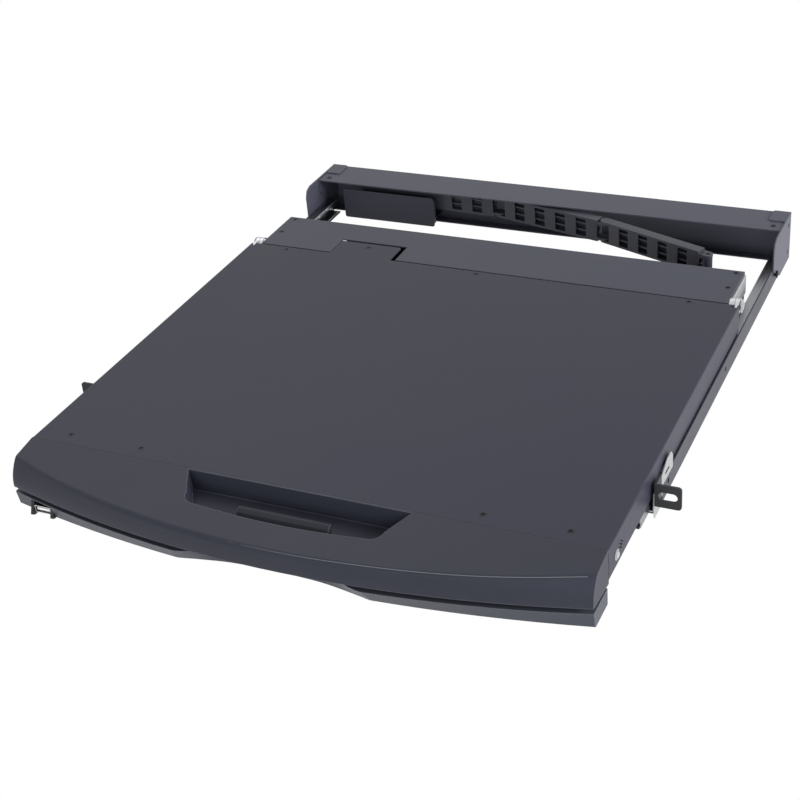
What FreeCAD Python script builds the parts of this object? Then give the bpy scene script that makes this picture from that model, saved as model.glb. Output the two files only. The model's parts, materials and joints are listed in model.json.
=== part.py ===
"""Rack console drawer: a 1U pull-out tray with a keyboard and a fold-up display.

Millimetres, +X right, +Y to the back of the rack, +Z up.  The origin is midway
between the two rack-ear slots, on the ears' front faces.  The drawer is drawn
out by rest_pullout, with the display folded shut.
"""
import FreeCAD, Part
import math
import os

V = FreeCAD.Vector

# ---- rack and frame -----------------------------------------------------
unit_height = 43.8          # one rack unit less its gap
slot_pitch = 465.1          # across the rack, ear slot to ear slot
slot_width = 6.7
slot_length = 13.4
ear_width = 19.0
ear_height = 18.3
ear_thick = 1.5
ear_corner = 2.5
rail_hole_y = 38.0          # ear face to the rail's spare hole
plate_screw_back = 15.0     # side plate's screw ahead of the bridge
screw_r = 2.0
screw_play = 0.2
ear_flange = 13.0           # depth of the ear's own side flange
sheet = 1.2                 # sheet steel of frame and drawer
rail_setback = 8.0          # ear face to the rail's front end
rail_end_back = 16.4        # rail's rear end ahead of the bridge's back
rail_lip = 8.0              # shelf under the outer slide member
bracket_reach = 46.0        # zinc bracket between ear and rail
bracket_foot = 20.0         # depth of its part on the rail
bracket_thick = 0.85
bracket_bolt_y = 14.0
frame_depth = 418.4         # ear face to the back of the bridge
bridge_depth = 37.2
bridge_foot = 11.0          # bottom flange of the bridge
side_plate_reach = 26.0     # side plate ahead of the bridge
side_plate_chamfer = 23.0
rear_hole_r = 2.15          # screw holes for a rear post bracket
rear_hole_edge = 8.0
rear_hole_pitch = 25.4
tab_width = 14.0            # side plate's tab on top of the bridge
tab_depth = 20.0
tab_thick = 1.0
cover_box_width = 94.0      # cable exit cover in the bridge
cover_box_height = 29.0
cover_box_left = 22.5       # side plate to the cover
cover_box_setback = 4.0

# ---- slides -------------------------------------------------------------
rest_pullout = 75.0         # how far the drawer is out at rest
slide_centre_z = -12.9
outer_member_half = 7.4
middle_member_half = 5.0
middle_member_short = 54.0  # shorter than the rail
middle_member_setback = 22.0
inner_member_half = 2.8
inner_member_short = 6.0    # shorter than the rail
member_gauge = 1.1
drawer_gap = 9.9            # drawer side to the rail's inner face

# ---- drawer -------------------------------------------------------------
seam_y = -92.0              # joint between display cover and its front bezel
lid_drop = 2.8              # display cover below the top of the unit
lid_side_gap = 1.7          # display's side to the rail's outer face
lid_rear_margin = 12.3      # display's rear edge behind the panel
lid_edge_r = 1.2            # folded edges of the sheet metal
lid_height = 23.6
lid_gap = 2.9               # display to keyboard deck
rear_cover_depth = 56.7
rear_gap = 1.7              # display cover to rear cover
cover_screw_side = 6.4      # rear cover's screws from the tray's side
cover_screw_back = 26.0
board_left = 70.0           # main board beside the centre line
board_right = 120.0
board_lift = 4.0            # main board above the tray's floor
tray_floor_lift = 0.5       # tray bottom above the bottom of the unit
tab_slot = 3.0              # slot round the display's cable tab
cable_tab_x0 = -141.5
cable_tab_x1 = -84.0
cable_tab_reach = 25.0      # tab behind the display cover's rear edge
hinge_back = 9.2            # hinge axis behind the display cover
hinge_drop = 5.0            # hinge axis below the display's top
hinge_pin_r = 2.5
hinge_barrel_r = 5.9
hinge_play = 0.05           # radial running clearance

# ---- front bezels -------------------------------------------------------
bezel_slope = 0.14
bezel_wall = 2.6
bezel_crease_r = 4.0
bezel_top_mid = 58.4        # reach ahead of the seam, middle and ends
bezel_top_end = 18.9
bezel_waist_mid = 60.3
bezel_waist_end = 28.3
bezel_foot_mid = 60.3
bezel_foot_end = 30.8
bezel_seam_gap = 0.25       # shadow line between bezel and display cover
bezel_skirt = 2.5           # side skirt below the bezel at the seam
pocket_half_rear = 86.0
pocket_half_front = 65.0
pocket_reach = 36.3
pocket_bow = 3.7
pocket_depth = 15.5
pocket_rear_web = 1.4
pocket_wall = 2.0
pull_half = 35.0            # release bar
pull_back = 20.0
pull_depth = 7.5
pull_rise = 7.5
pull_travel = 5.0
peg_r = 2.5                 # latch pegs in the display's sides
peg_back = 16.7
peg_drop = 15.7
peg_stand_out = 1.4
base_drop = 1.8             # tray's front bezel below the keyboard deck
base_top_back = 0.4         # its upper edge behind the display's bezel
base_foot_mid = 51.9        # reach of its lower edge ahead of the seam
base_foot_end = 28.2
base_edge = 1.0             # rounding of the lower edge
base_wall = 2.6
usb_x = -194.0
usb_width = 20.0
usb_height = 11.5

# ---- screen and keyboard ------------------------------------------------
panel_width = 358.5
panel_depth = 296.5
panel_thick = 10.5
view_width = 338.0
view_depth = 270.4
panel_front_gap = 27.0      # seam to the panel
frame_recess = 1.5          # display frame above the display's lower edge
frame_thick = 1.6
bumper_gap = 0.3            # rubber stops above the keyboard deck
key_pitch = 18.6
key_gap = 2.4
key_height = 4.2
key_draft = 1.2
key_travel = 2.0
key_show = 2.2              # key tops above the deck
stem_half = 2.5
stem_play = 0.3
plate_thick = 2.0           # guide plate under the keys
main_columns = 15
pad_columns = 4
pad_space = 8.0
keys_front = 22.0           # front edge of the keys, from the ear plane
pointer_width = 68.0        # touch pad
pointer_depth = 46.0
pointer_front = -62.0
button_depth = 11.0
button_travel = 0.8
driver_width = 120.0        # display driver board
driver_depth = 80.0
osd_count = 5
osd_pitch = 14.0
osd_r = 2.6

# ---- cable chain --------------------------------------------------------
chain_side = 38.9           # fixing on the drawer, in from the tray's side
chain_back = 29.8           # fixing behind the drawer
chain_end_side = 25.9       # free end, in from the tray's other side
chain_end_back = 12.2       # free end ahead of the bridge's rear wall
chain_bends = [(0.2857, 0.5205), (0.5938, 0.8904)]
chain_height = 20.6
chain_z = 7.9
chain_shelf_z = 3.4         # separators above and below the middle
chain_shelf = 1.2
chain_sleeve_r = 4.2
chain_thick = 9.0
chain_pitch = 21.5
chain_bar = 11.0
chain_skin = 1.8
chain_pin_r = 2.0

# ---- derived places -----------------------------------------------------
unit_top = unit_height / 2
unit_bottom = -unit_height / 2
rail_outer_half = slot_pitch / 2 - ear_width / 2 - bracket_thick
rail_length = frame_depth - rail_setback - rail_end_back
outer_member_length = rail_length - 2.0
rail_in = rail_outer_half - sheet
tray_half = rail_in - drawer_gap - 0.2
lid_half = rail_outer_half - lid_side_gap
lid_depth = panel_front_gap + panel_depth + lid_rear_margin
lid_top = unit_top - lid_drop
lid_bottom = lid_top - lid_height
lid_rear = seam_y + lid_depth
deck_top = lid_bottom - lid_gap
tray_bottom = unit_bottom + tray_floor_lift
cover_front = lid_rear + rear_gap
tray_rear = cover_front + rear_cover_depth
tray_front = seam_y - 3.0
bridge_front = frame_depth - bridge_depth
bridge_top = unit_top - tab_thick
hinge_y = lid_rear + hinge_back
hinge_z = lid_top - hinge_drop
panel_y0 = seam_y + panel_front_gap
panel_y1 = panel_y0 + panel_depth
frame_z0 = lid_bottom + frame_recess
deck_under = deck_top - sheet
key_top = deck_top + key_show
base_top = deck_top - base_drop
chain_start = (tray_half - chain_side, tray_rear + chain_back)
chain_end = (chain_end_side - tray_half, frame_depth - sheet - chain_end_back)
chain_points = [chain_start]
for share_x, share_y in chain_bends:
    chain_points.append((chain_start[0] + share_x * (chain_end[0] - chain_start[0]),
                         chain_start[1] + share_y * (chain_end[1] - chain_start[1])))
chain_points.append(chain_end)

os.makedirs("parts", exist_ok=True)


# ---- helpers ------------------------------------------------------------
def block(x0, x1, y0, y1, z0, z1):
    return Part.makeBox(x1 - x0, y1 - y0, z1 - z0, V(x0, y0, z0))


def rod(r, start, end):
    a, b = V(*start), V(*end)
    return Part.makeCylinder(r, (b - a).Length, a, b - a)


def ring(r, x, y, z, sides=12):
    """Many-sided outline round a vertical axis, for small trim."""
    turns = [2 * math.pi * (i + 0.5) / sides for i in range(sides)]
    points = [V(x + r * math.cos(t), y + r * math.sin(t), z) for t in turns]
    return Part.makePolygon(points + points[:1])


def stack(sections, x, y):
    """Upright many-sided solid through (radius, height) sections."""
    return Part.makeLoft([ring(r, x, y, z) for r, z in sections], True, True)


def side_stack(sections, y, z):
    """The same with its axis along X, through (radius, x) sections."""
    body = stack(sections, 0, 0)
    body.rotate(V(0, 0, 0), V(0, 1, 0), 90)
    body.translate(V(0, y, z))
    return body


def prism_x(points, x0, x1):
    """Profile of (y, z) points run along X."""
    wire = Part.makePolygon([V(x0, y, z) for y, z in points + points[:1]])
    return Part.Face(wire).extrude(V(x1 - x0, 0, 0))


def prism_y(points, y0, y1):
    """Profile of (x, z) points run along Y."""
    wire = Part.makePolygon([V(x, y0, z) for x, z in points + points[:1]])
    return Part.Face(wire).extrude(V(0, y1 - y0, 0))


def prism_z(points, z0, z1):
    """Profile of (x, y) points run along Z."""
    wire = Part.makePolygon([V(x, y, z0) for x, y in points + points[:1]])
    return Part.Face(wire).extrude(V(0, 0, z1 - z0))


def mirrored(shape):
    return shape.mirror(V(0, 0, 0), V(1, 0, 0))


def union(shapes):
    result = shapes[0]
    if len(shapes) > 1:
        result = result.fuse(shapes[1:])
    return result.removeSplitter()


def fillet_where(shape, radius, test):
    edges = [e for e in shape.Edges if test(e)]
    return shape.makeFillet(radius, edges) if edges else shape


def is_vertical(edge):
    box = edge.BoundBox
    return box.ZLength > 0.5 and box.XLength < 1e-4 and box.YLength < 1e-4


def save(name, shape):
    solids = shape.Solids
    result = solids[0] if len(solids) == 1 else Part.makeCompound(solids)
    result.exportStep("parts/%s.step" % name)


def save_pair(name, right):
    """Write a right-hand piece and its mirror image."""
    save(name + "_right", right)
    save(name + "_left", mirrored(right))


def slotted(x, z, length, width, y0, y1):
    """Slot cutter along Y, long in X."""
    r = width / 2
    half = length / 2 - r
    middle = block(x - half, x + half, y0, y1, z - r, z + r)
    ends = [rod(r, (x + s * half, y0, z), (x + s * half, y1, z)) for s in (-1, 1)]
    return middle.fuse(ends)


def screw_head(x, y, z, r=2.6, high=0.9):
    """Low screw head, its seat at height z."""
    return stack([(r, z), (r * 0.75, z + high)], x, y)


def sunk_screw(x, y, z, r=2.6, deep=0.8, shank=1.2, long=4.0):
    """Countersunk screw flush with height z."""
    return stack([(r, z), (shank, z - deep), (shank, z - long)], x, y)


def sunk_hole(x, y, z, play=0.15):
    return sunk_screw(x, y, z, 2.6 + play, 0.8, 1.2 + play, 6.0)


# ---- frame that stays in the rack --------------------------------------
def rail():
    """Long angle that carries the outer slide member."""
    y0, y1 = rail_setback, rail_setback + rail_length
    top = slide_centre_z + outer_member_half + 0.5
    low = slide_centre_z - outer_member_half
    web = block(rail_in, rail_outer_half, y0, y1, low - sheet, top)
    shelf = block(rail_in - rail_lip, rail_in, y0, y1, low - sheet, low)
    body = web.fuse(shelf)
    r = screw_r + screw_play
    holes = [side_stack([(r, rail_in - 1), (r, rail_outer_half + 1)], y, slide_centre_z)
             for y in (bracket_bolt_y, rail_hole_y, y0 + 190,
                       bridge_front - plate_screw_back)]
    return body.cut(holes)


def ear():
    """Black rack ear with its slot and side flange."""
    x_in = slot_pitch / 2 - ear_width / 2
    half = ear_height / 2
    plate = block(x_in, x_in + ear_width, 0, ear_thick, -half, half)
    plate = fillet_where(plate, ear_corner, lambda e: e.BoundBox.YLength > 1 and
                         e.BoundBox.XMin > x_in + 1)
    flange = block(x_in, x_in + ear_thick, ear_thick, ear_flange, -half, half)
    return plate.fuse(flange).cut(slotted(slot_pitch / 2, 0, slot_length, slot_width,
                                          -1, ear_thick + 1)).removeSplitter()


def ear_bracket():
    """Zinc bracket from the rail's front end, with an inclined upper arm."""
    x0 = rail_outer_half
    x1 = slot_pitch / 2 - ear_width / 2
    low = slide_centre_z - outer_member_half
    arm = rail_top() - 0.6
    half = ear_height / 2
    y1 = bracket_reach
    profile = [(ear_thick, low), (bracket_foot, low), (bracket_foot, arm), (y1, arm),
               (y1, half - 5), (y1 - 4, half), (y1 - 12, half), (10, 0), (ear_thick, 0)]
    plate = prism_x(profile, x0, x1)
    slot = block(x0 - 1, x1 + 1, 27, 37, -1.2, 1.2)
    bolt = rod(screw_r + screw_play, (x0 - 1, bracket_bolt_y, slide_centre_z),
               (x1 + 1, bracket_bolt_y, slide_centre_z))
    return plate.cut([slot, bolt])


def outer_member():
    """Slide member fixed to the rail, its channel open to the drawer."""
    y0 = rail_setback
    y1 = y0 + outer_member_length
    half = outer_member_half
    x1 = rail_in
    x0 = x1 - 7.4
    web = block(x1 - member_gauge, x1, y0, y1, slide_centre_z - half, slide_centre_z + half)
    top = block(x0, x1, y0, y1, slide_centre_z + half - member_gauge, slide_centre_z + half)
    low = block(x0, x1, y0, y1, slide_centre_z - half, slide_centre_z - half + member_gauge)
    return union([web, top, low])


def middle_member():
    """Middle slide member, nested in the outer one."""
    shift = -rest_pullout / 2
    y0 = middle_member_setback + shift
    y1 = y0 + rail_length - middle_member_short
    half = middle_member_half
    x1 = rail_in - member_gauge - 1.6
    x0 = x1 - 5.0
    web = block(x1 - member_gauge, x1, y0, y1, slide_centre_z - half, slide_centre_z + half)
    top = block(x0, x1, y0, y1, slide_centre_z + half - member_gauge, slide_centre_z + half)
    low = block(x0, x1, y0, y1, slide_centre_z - half, slide_centre_z - half + member_gauge)
    stop = block(x0 + 0.3, x1 - member_gauge, y0, y0 + 9, slide_centre_z - half + member_gauge,
                 slide_centre_z - inner_member_half - 0.5)
    return union([web, top, low, stop])


def inner_member():
    """Slide member on the drawer's side, its flat web outwards."""
    y1 = tray_rear - 4
    y0 = y1 - rail_length + inner_member_short
    half = inner_member_half
    x0 = tray_half
    x1 = x0 + 4.6
    web = block(x1 - member_gauge, x1, y0, y1, slide_centre_z - half, slide_centre_z + half)
    top = block(x0, x1, y0, y1, slide_centre_z + half - member_gauge, slide_centre_z + half)
    low = block(x0, x1, y0, y1, slide_centre_z - half, slide_centre_z - half + member_gauge)
    return union([web, top, low])


def bridge():
    """Folded channel across the back, open to the front."""
    half = rail_outer_half
    profile = [(bridge_front, bridge_top), (frame_depth, bridge_top), (frame_depth, unit_bottom),
               (frame_depth - bridge_foot, unit_bottom),
               (frame_depth - bridge_foot, unit_bottom + sheet),
               (frame_depth - sheet, unit_bottom + sheet),
               (frame_depth - sheet, bridge_top - sheet),
               (bridge_front, bridge_top - sheet)]
    body = prism_x(profile, -half, half)
    ends = [prism_x([(bridge_front, bridge_top - sheet),
                     (frame_depth - sheet, bridge_top - sheet),
                     (frame_depth - sheet, rail_top()),
                     (bridge_front + 14, rail_top()), (bridge_front, bridge_top - 12)],
                    s * half, s * (half - sheet)) for s in (-1, 1)]
    return body.fuse(ends).removeSplitter()


def rail_top():
    return slide_centre_z + outer_member_half + 0.5


def side_plate():
    """Plate that joins the bridge to a rail, with a tab on top."""
    x0 = rail_outer_half
    x1 = x0 + sheet
    front = bridge_front - side_plate_reach
    profile = [(front + 9, unit_top), (frame_depth, unit_top), (frame_depth, unit_bottom),
               (bridge_front, unit_bottom), (front, unit_bottom + side_plate_chamfer - 7),
               (front, unit_top - 9), (front + 2.6, unit_top - 2.6)]
    plate = prism_x(profile, x0, x1)
    tab = block(x0 - tab_width, x0, frame_depth - tab_depth, frame_depth,
                unit_top - tab_thick, unit_top)
    tab = fillet_where(tab, 2.0, lambda e: is_vertical(e) and e.BoundBox.XMax < x0 - 1)
    holes = [rod(rear_hole_r, (x0 - 1, frame_depth - rear_hole_edge, s * rear_hole_pitch / 2),
                 (x1 + 1, frame_depth - rear_hole_edge, s * rear_hole_pitch / 2))
             for s in (-1, 1)]
    fixing = rod(screw_r + screw_play, (x0 - 1, bridge_front - plate_screw_back, slide_centre_z),
                 (x1 + 1, bridge_front - plate_screw_back, slide_centre_z))
    return plate.fuse(tab).cut(holes + [fixing]).removeSplitter()


def cable_cover():
    """Folded cover over the place where the cables leave the bridge."""
    x0 = -rail_outer_half + cover_box_left + sheet
    x1 = x0 + cover_box_width
    y0 = bridge_front + cover_box_setback
    z1 = bridge_top - 8.5
    z0 = z1 - cover_box_height
    front = block(x0, x1, y0, y0 + sheet, z0, z1)
    front = fillet_where(front, 2.0, lambda e: e.BoundBox.YLength > 1)
    cheek = block(x1 - sheet, x1, y0, y0 + 4.5, z0 + 3, z1 - 3)
    foot = block(x0 + 6, x1 - 6, y0, frame_depth - sheet, z0, z0 + sheet)
    tail = block(x0 + 6, x1 - 6, frame_depth - 2 * sheet, frame_depth - sheet, z0, z0 + 12)
    return union([front, cheek, foot, tail])


def side_screw(face, y, r, high):
    """Pan-head screw through the rail from outside, right-hand side."""
    head = side_stack([(r, face), (r, face + high * 0.6), (r * 0.8, face + high)],
                      y, slide_centre_z)
    shank = side_stack([(screw_r, rail_in + 0.1), (screw_r, face)], y, slide_centre_z)
    return head.fuse(shank)


def frame_screws():
    """Screws of the frame: side plates, ear brackets and bridge tabs."""
    right = [side_screw(rail_outer_half + sheet, bridge_front - plate_screw_back, 3.6, 1.6),
             side_screw(slot_pitch / 2 - ear_width / 2, bracket_bolt_y, 3.2, 1.4),
             screw_head(rail_outer_half - 8, bridge_front + 8, bridge_top, 2.4, 0.8)]
    return Part.makeCompound(right + [mirrored(piece) for piece in right])


# ---- display ------------------------------------------------------------
def lid_screw_places():
    half = lid_half
    front = [(x, seam_y + 11.5) for x in (26.5 - half, 87.0 - half, half - 89.2, half - 29.0)]
    rear = [(x, lid_rear - 4.0) for x in (37.5 - half, -2.0, half - 39.5)]
    return front + rear


def tab_screw_place():
    return (cable_tab_x0 + cable_tab_x1) / 2, lid_rear + cable_tab_reach - 7


def lid_cover():
    """Sheet-metal back of the display, with the cable tab at its rear."""
    outer = block(-lid_half, lid_half, seam_y, lid_rear, lid_bottom, lid_top)
    outer = fillet_where(outer, lid_edge_r, is_top_side)
    inner = block(-lid_half + sheet, lid_half - sheet, seam_y - 1, lid_rear - sheet,
                  lid_bottom - 1, lid_top - sheet)
    shell = outer.cut(inner)
    lip = block(-lid_half + sheet, lid_half - sheet, seam_y, seam_y + sheet,
                lid_top - 7, lid_top - sheet)
    tab = block(cable_tab_x0, cable_tab_x1, lid_rear - sheet, lid_rear + cable_tab_reach,
                lid_top - sheet, lid_top)
    tab = fillet_where(tab, 1.5, lambda e: is_vertical(e) and e.BoundBox.YMin > lid_rear + 1)
    shell = union([shell, lip, tab])
    notches = [block(min(s * (lid_half - 5.5), s * (lid_half - sheet)),
                     max(s * (lid_half - 5.5), s * (lid_half - sheet)),
                     lid_rear - 4, lid_rear + 1, lid_bottom + 5, lid_top + 1) for s in (-1, 1)]
    holes = [sunk_hole(x, y, lid_top) for x, y in lid_screw_places() + [tab_screw_place()]]
    pegs = [rod(peg_r + 0.1, (s * (lid_half - 3), seam_y + peg_back, lid_top - peg_drop),
                (s * (lid_half + 1), seam_y + peg_back, lid_top - peg_drop)) for s in (-1, 1)]
    return shell.cut(notches + holes + pegs)


def is_top_side(edge):
    """The long upper edges at the display's two sides."""
    box = edge.BoundBox
    return box.YLength > 100 and box.XLength < 1e-4 and box.ZMin > lid_top - 0.1


def lid_screws():
    parts = [sunk_screw(x, y, lid_top) for x, y in lid_screw_places()]
    parts.append(sunk_screw(*tab_screw_place(), lid_top, long=1.2))
    return Part.makeCompound(parts)


def bow_wire(half, end, mid, back, z):
    """Outline with a straight back and a bowed front, at height z."""
    a, b = V(-half, seam_y - back, z), V(half, seam_y - back, z)
    c, d = V(half, seam_y - end, z), V(-half, seam_y - end, z)
    arc = Part.Arc(c, V(0, seam_y - mid, z), d).toShape()
    return Part.Wire([Part.makeLine(a, b), Part.makeLine(b, c), arc, Part.makeLine(d, a)])


def bezel_block(wall, back):
    """Bowed block under the sloping top, drawn in by wall on every side."""
    half = lid_half - wall
    z2 = lid_top
    z1 = lid_top - 12.0
    z0 = lid_bottom - 0.4 + wall
    wires = [bow_wire(half, bezel_top_end - wall, bezel_top_mid - wall, back, z2),
             bow_wire(half, bezel_waist_end - wall, bezel_waist_mid - wall, back, z1),
             bow_wire(half, bezel_foot_end - wall, bezel_foot_mid - wall, back, z0)]
    body = Part.makeLoft(wires, True, wall > 0)
    above = block(-lid_half - 10, lid_half + 10, -120, 20, 0, 60)
    above.rotate(V(0, 0, 0), V(1, 0, 0), math.degrees(math.atan(bezel_slope)))
    above.translate(V(0, seam_y, lid_top - wall))
    return body.cut(above)


def pocket_wire(z, shrink):
    """Pocket outline: straight at the back, bowed at the front."""
    y = seam_y - pocket_rear_web - shrink
    rear = pocket_half_rear - shrink
    front = pocket_half_front - shrink
    reach = pocket_reach - shrink
    side_y = seam_y - reach + pocket_bow + 9.5
    side_x = rear - 10.0
    p = [V(-rear, y, z), V(rear, y, z), V(side_x, side_y, z),
         V(front, seam_y - reach + pocket_bow, z)]
    corner = V(side_x - 3.2, side_y - 7.0, z)
    mid = V(0, seam_y - reach, z)
    left = [V(-q.x, q.y, z) for q in (p[3], corner, p[2])]
    return Part.Wire([Part.makeLine(p[0], p[1]), Part.makeLine(p[1], p[2]),
                      Part.Arc(p[2], corner, p[3]).toShape(),
                      Part.Arc(p[3], mid, left[0]).toShape(),
                      Part.Arc(left[0], left[1], left[2]).toShape(),
                      Part.makeLine(left[2], p[0])])


def bezel():
    """Front bezel of the display with its finger pocket."""
    floor = lid_top - pocket_depth
    shell = bezel_block(0, bezel_seam_gap)
    shell = fillet_where(shell, bezel_crease_r, is_crease)
    shell = shell.cut(bezel_block(bezel_wall, -5.0))
    skirt = [(seam_y - bezel_foot_end + 1.0, lid_bottom - 0.4),
             (seam_y - bezel_seam_gap, lid_bottom - 0.4 - bezel_skirt),
             (seam_y - bezel_seam_gap, lid_bottom + 3), (seam_y - bezel_foot_end + 1.0, lid_bottom + 3)]
    shell = shell.fuse([prism_x(skirt, s * lid_half, s * (lid_half - bezel_wall)) for s in (-1, 1)])
    tub = Part.makeLoft([pocket_wire(lid_top, -pocket_wall),
                         pocket_wire(floor - pocket_wall, -pocket_wall + 2)], True, True)
    tub = tub.common(bezel_block(0, bezel_seam_gap))
    void = Part.makeLoft([pocket_wire(lid_top + 1, 0), pocket_wire(floor, 2)], True, True)
    slot = block(-pull_half + 4, pull_half - 4, seam_y - pull_back - pull_travel - 6,
                 seam_y - pull_back + 0.5 - 1.5, floor - 5, floor + 1)
    tongues = []
    for s in (-1, 1):
        x = s * (lid_half - 80)
        tongues.append(block(x - 15, x + 15, seam_y - 3.5, seam_y - 0.6, lid_top - 10, lid_top - 1.5))
        tongues.append(block(x - 15, x + 15, seam_y - 1.5, seam_y + 4, lid_top - 10, lid_top - 7))
    return shell.fuse([tub] + tongues).cut([void, slot]).removeSplitter()


def is_crease(edge):
    """The long edge between the sloping top and the bowed front."""
    box = edge.BoundBox
    return box.XLength > 2 * lid_half - 5 and box.YLength > 20 and box.ZMax > lid_top - 10


def release_bar():
    """Sliding bar in the pocket that draws back the latch pegs."""
    floor = lid_top - pocket_depth
    y1 = seam_y - pull_back
    y0 = y1 - pull_depth
    profile = [(y0, floor + 0.3), (y1, floor + 0.3), (y1, floor + pull_rise),
               (y1 - 2.2, floor + pull_rise + 0.6), (y0 + 2.0, floor + pull_rise - 1.4),
               (y0, floor + pull_rise - 4.0)]
    grip = prism_x(profile, -pull_half, pull_half)
    grip = fillet_where(grip, 1.5, lambda e: is_vertical(e))
    stem = block(-pull_half + 8, pull_half - 8, y1 - 5.0, y1 - 2.5, floor - 3.5, floor + 0.5)
    return union([grip, stem])


def latch_peg():
    """Spring-loaded peg with its rod, right-hand side."""
    y = seam_y + peg_back
    z = lid_top - peg_drop
    tip = rod(peg_r, (lid_half - 30, y, z), (lid_half + peg_stand_out - 0.8, y, z))
    nose = Part.makeCone(peg_r, peg_r - 0.7, 0.8, V(lid_half + peg_stand_out - 0.8, y, z),
                         V(1, 0, 0))
    link = block(60, lid_half - 29, y - 1.0, y + 1.0, z - 2.0, z + 2.0)
    return union([tip, nose, link])


def latch_guide():
    """Guide block that carries a latch peg inside the display."""
    y = seam_y + peg_back
    z = lid_top - peg_drop
    body = block(lid_half - 22, lid_half - sheet, y - 5, y + 5, frame_z0 + frame_thick,
                 lid_top - sheet)
    return body.cut(rod(peg_r + 0.05, (lid_half - 23, y, z), (lid_half, y, z)))


def display_frame():
    """Inner frame round the screen, facing the keyboard."""
    gap = 0.4
    outer = block(-lid_half + sheet + gap, lid_half - sheet - gap, seam_y + 2.0,
                  lid_rear - sheet - 4.5, frame_z0, frame_z0 + frame_thick)
    y_mid = panel_y0 + panel_depth / 2
    window = block(-view_width / 2, view_width / 2, y_mid - view_depth / 2,
                   y_mid + view_depth / 2, frame_z0 - 1, frame_z0 + frame_thick + 1)
    r = osd_r + 0.2
    holes = [stack([(r, frame_z0 - 1), (r, frame_z0 + 5)], x, osd_y()) for x in osd_places()]
    return outer.cut([window] + holes)


def osd_y():
    return seam_y + 15.0


def osd_places():
    return [(i - (osd_count - 1) / 2) * osd_pitch for i in range(osd_count)]


def osd_buttons():
    """Screen menu buttons."""
    parts = []
    for x in osd_places():
        cap = stack([(osd_r, frame_z0 - 0.7), (osd_r, frame_z0 + 2.4)], x, osd_y())
        wide = osd_r + 1.2
        z = frame_z0 + frame_thick
        flange = block(x - wide, x + wide, osd_y() - wide, osd_y() + wide, z + 0.1, z + 0.8)
        parts.append(cap.fuse(flange))
    return Part.makeCompound(parts)


def osd_board():
    """Small board on two posts behind the screen menu buttons."""
    half = osd_count * osd_pitch / 2 + 4
    z0 = frame_z0 + frame_thick
    z1 = z0 + 2.2
    board = block(-half, half, osd_y() - 6, osd_y() + 3.5, z1, z1 + 1.6)
    posts = [stack([(1.8, z0), (1.8, z1)], x, osd_y()) for x in (-half + 2.5, half - 2.5)]
    return union([board] + posts)


def bumpers():
    """Rubber stops under the corners of the display frame."""
    low = deck_top + bumper_gap
    places = [(s * (lid_half - 22), y) for s in (-1, 1) for y in (seam_y + 12, lid_rear - 40)]
    stops = [stack([(3.2, low), (4.0, frame_z0)], x, y) for x, y in places]
    return Part.makeCompound(stops)


def screen():
    """Front glass of the display panel."""
    z = frame_z0 + frame_thick
    return block(-panel_width / 2, panel_width / 2, panel_y0, panel_y1, z, z + 0.8)


def panel():
    """Display panel with its rear tray."""
    z0 = frame_z0 + frame_thick + 0.8
    body = block(-panel_width / 2, panel_width / 2, panel_y0, panel_y1, z0, z0 + panel_thick)
    rib = block(-panel_width / 2 + 30, panel_width / 2 - 30, panel_y0 + 40, panel_y1 - 40,
                z0 + panel_thick, z0 + panel_thick + 1.5)
    return union([body, rib])


def driver_board():
    """Display driver board in the gap behind the panel."""
    z0 = frame_z0 + frame_thick + 0.8 + panel_thick + 1.5
    y0 = panel_y1 - driver_depth - 61.0
    half = driver_width / 2
    board = block(-half, half, y0, y0 + driver_depth, z0, z0 + 1.6)
    chips = [block(x, x + 16, y0 + 25, y0 + 41, z0 + 1.6, z0 + 2.8) for x in (20 - half, half - 50)]
    return union([board] + chips)


def hinge_arm():
    """Moving leaf of the right hinge, fixed inside the display's side."""
    x1 = lid_half - sheet
    x0 = x1 - 3.4
    plate_x0 = x1 - 2.2
    leaf = prism_x([(hinge_y - 62, hinge_z - 12), (lid_rear - 4.2, hinge_z - 12),
                    (hinge_y - 4, hinge_z - 5), (hinge_y, hinge_z + 5.4),
                    (lid_rear - 4, hinge_z + 3.4), (hinge_y - 62, hinge_z + 3.4)],
                   plate_x0, x1)
    barrel = rod(hinge_barrel_r, (x0, hinge_y, hinge_z), (x1, hinge_y, hinge_z))
    bore = rod(hinge_pin_r + hinge_play, (x0 - 1, hinge_y, hinge_z), (x1 + 1, hinge_y, hinge_z))
    return leaf.fuse(barrel).cut(bore).removeSplitter()


def hinge_bracket():
    """Fixed leaf of the right hinge, on the side of the rear compartment."""
    x0 = tray_half
    leaf = prism_x([(cover_front + 1, hinge_z - 13), (tray_rear - 2, hinge_z - 13),
                    (tray_rear - 2, hinge_z + 3), (hinge_y + 4, hinge_z + 3),
                    (hinge_y, hinge_z + 5.4), (cover_front + 1, hinge_z + 2)],
                   x0, x0 + 1.6)
    barrel = rod(hinge_barrel_r, (x0 + 1.6, hinge_y, hinge_z),
                 (lid_half - sheet - 3.7, hinge_y, hinge_z))
    pin = rod(hinge_pin_r, (x0 + 1.6, hinge_y, hinge_z), (lid_half, hinge_y, hinge_z))
    cap = rod(hinge_pin_r + 1.0, (lid_half - sheet + 0.2, hinge_y, hinge_z),
              (lid_half + 0.3, hinge_y, hinge_z))
    return union([leaf, barrel, pin, cap])


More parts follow.
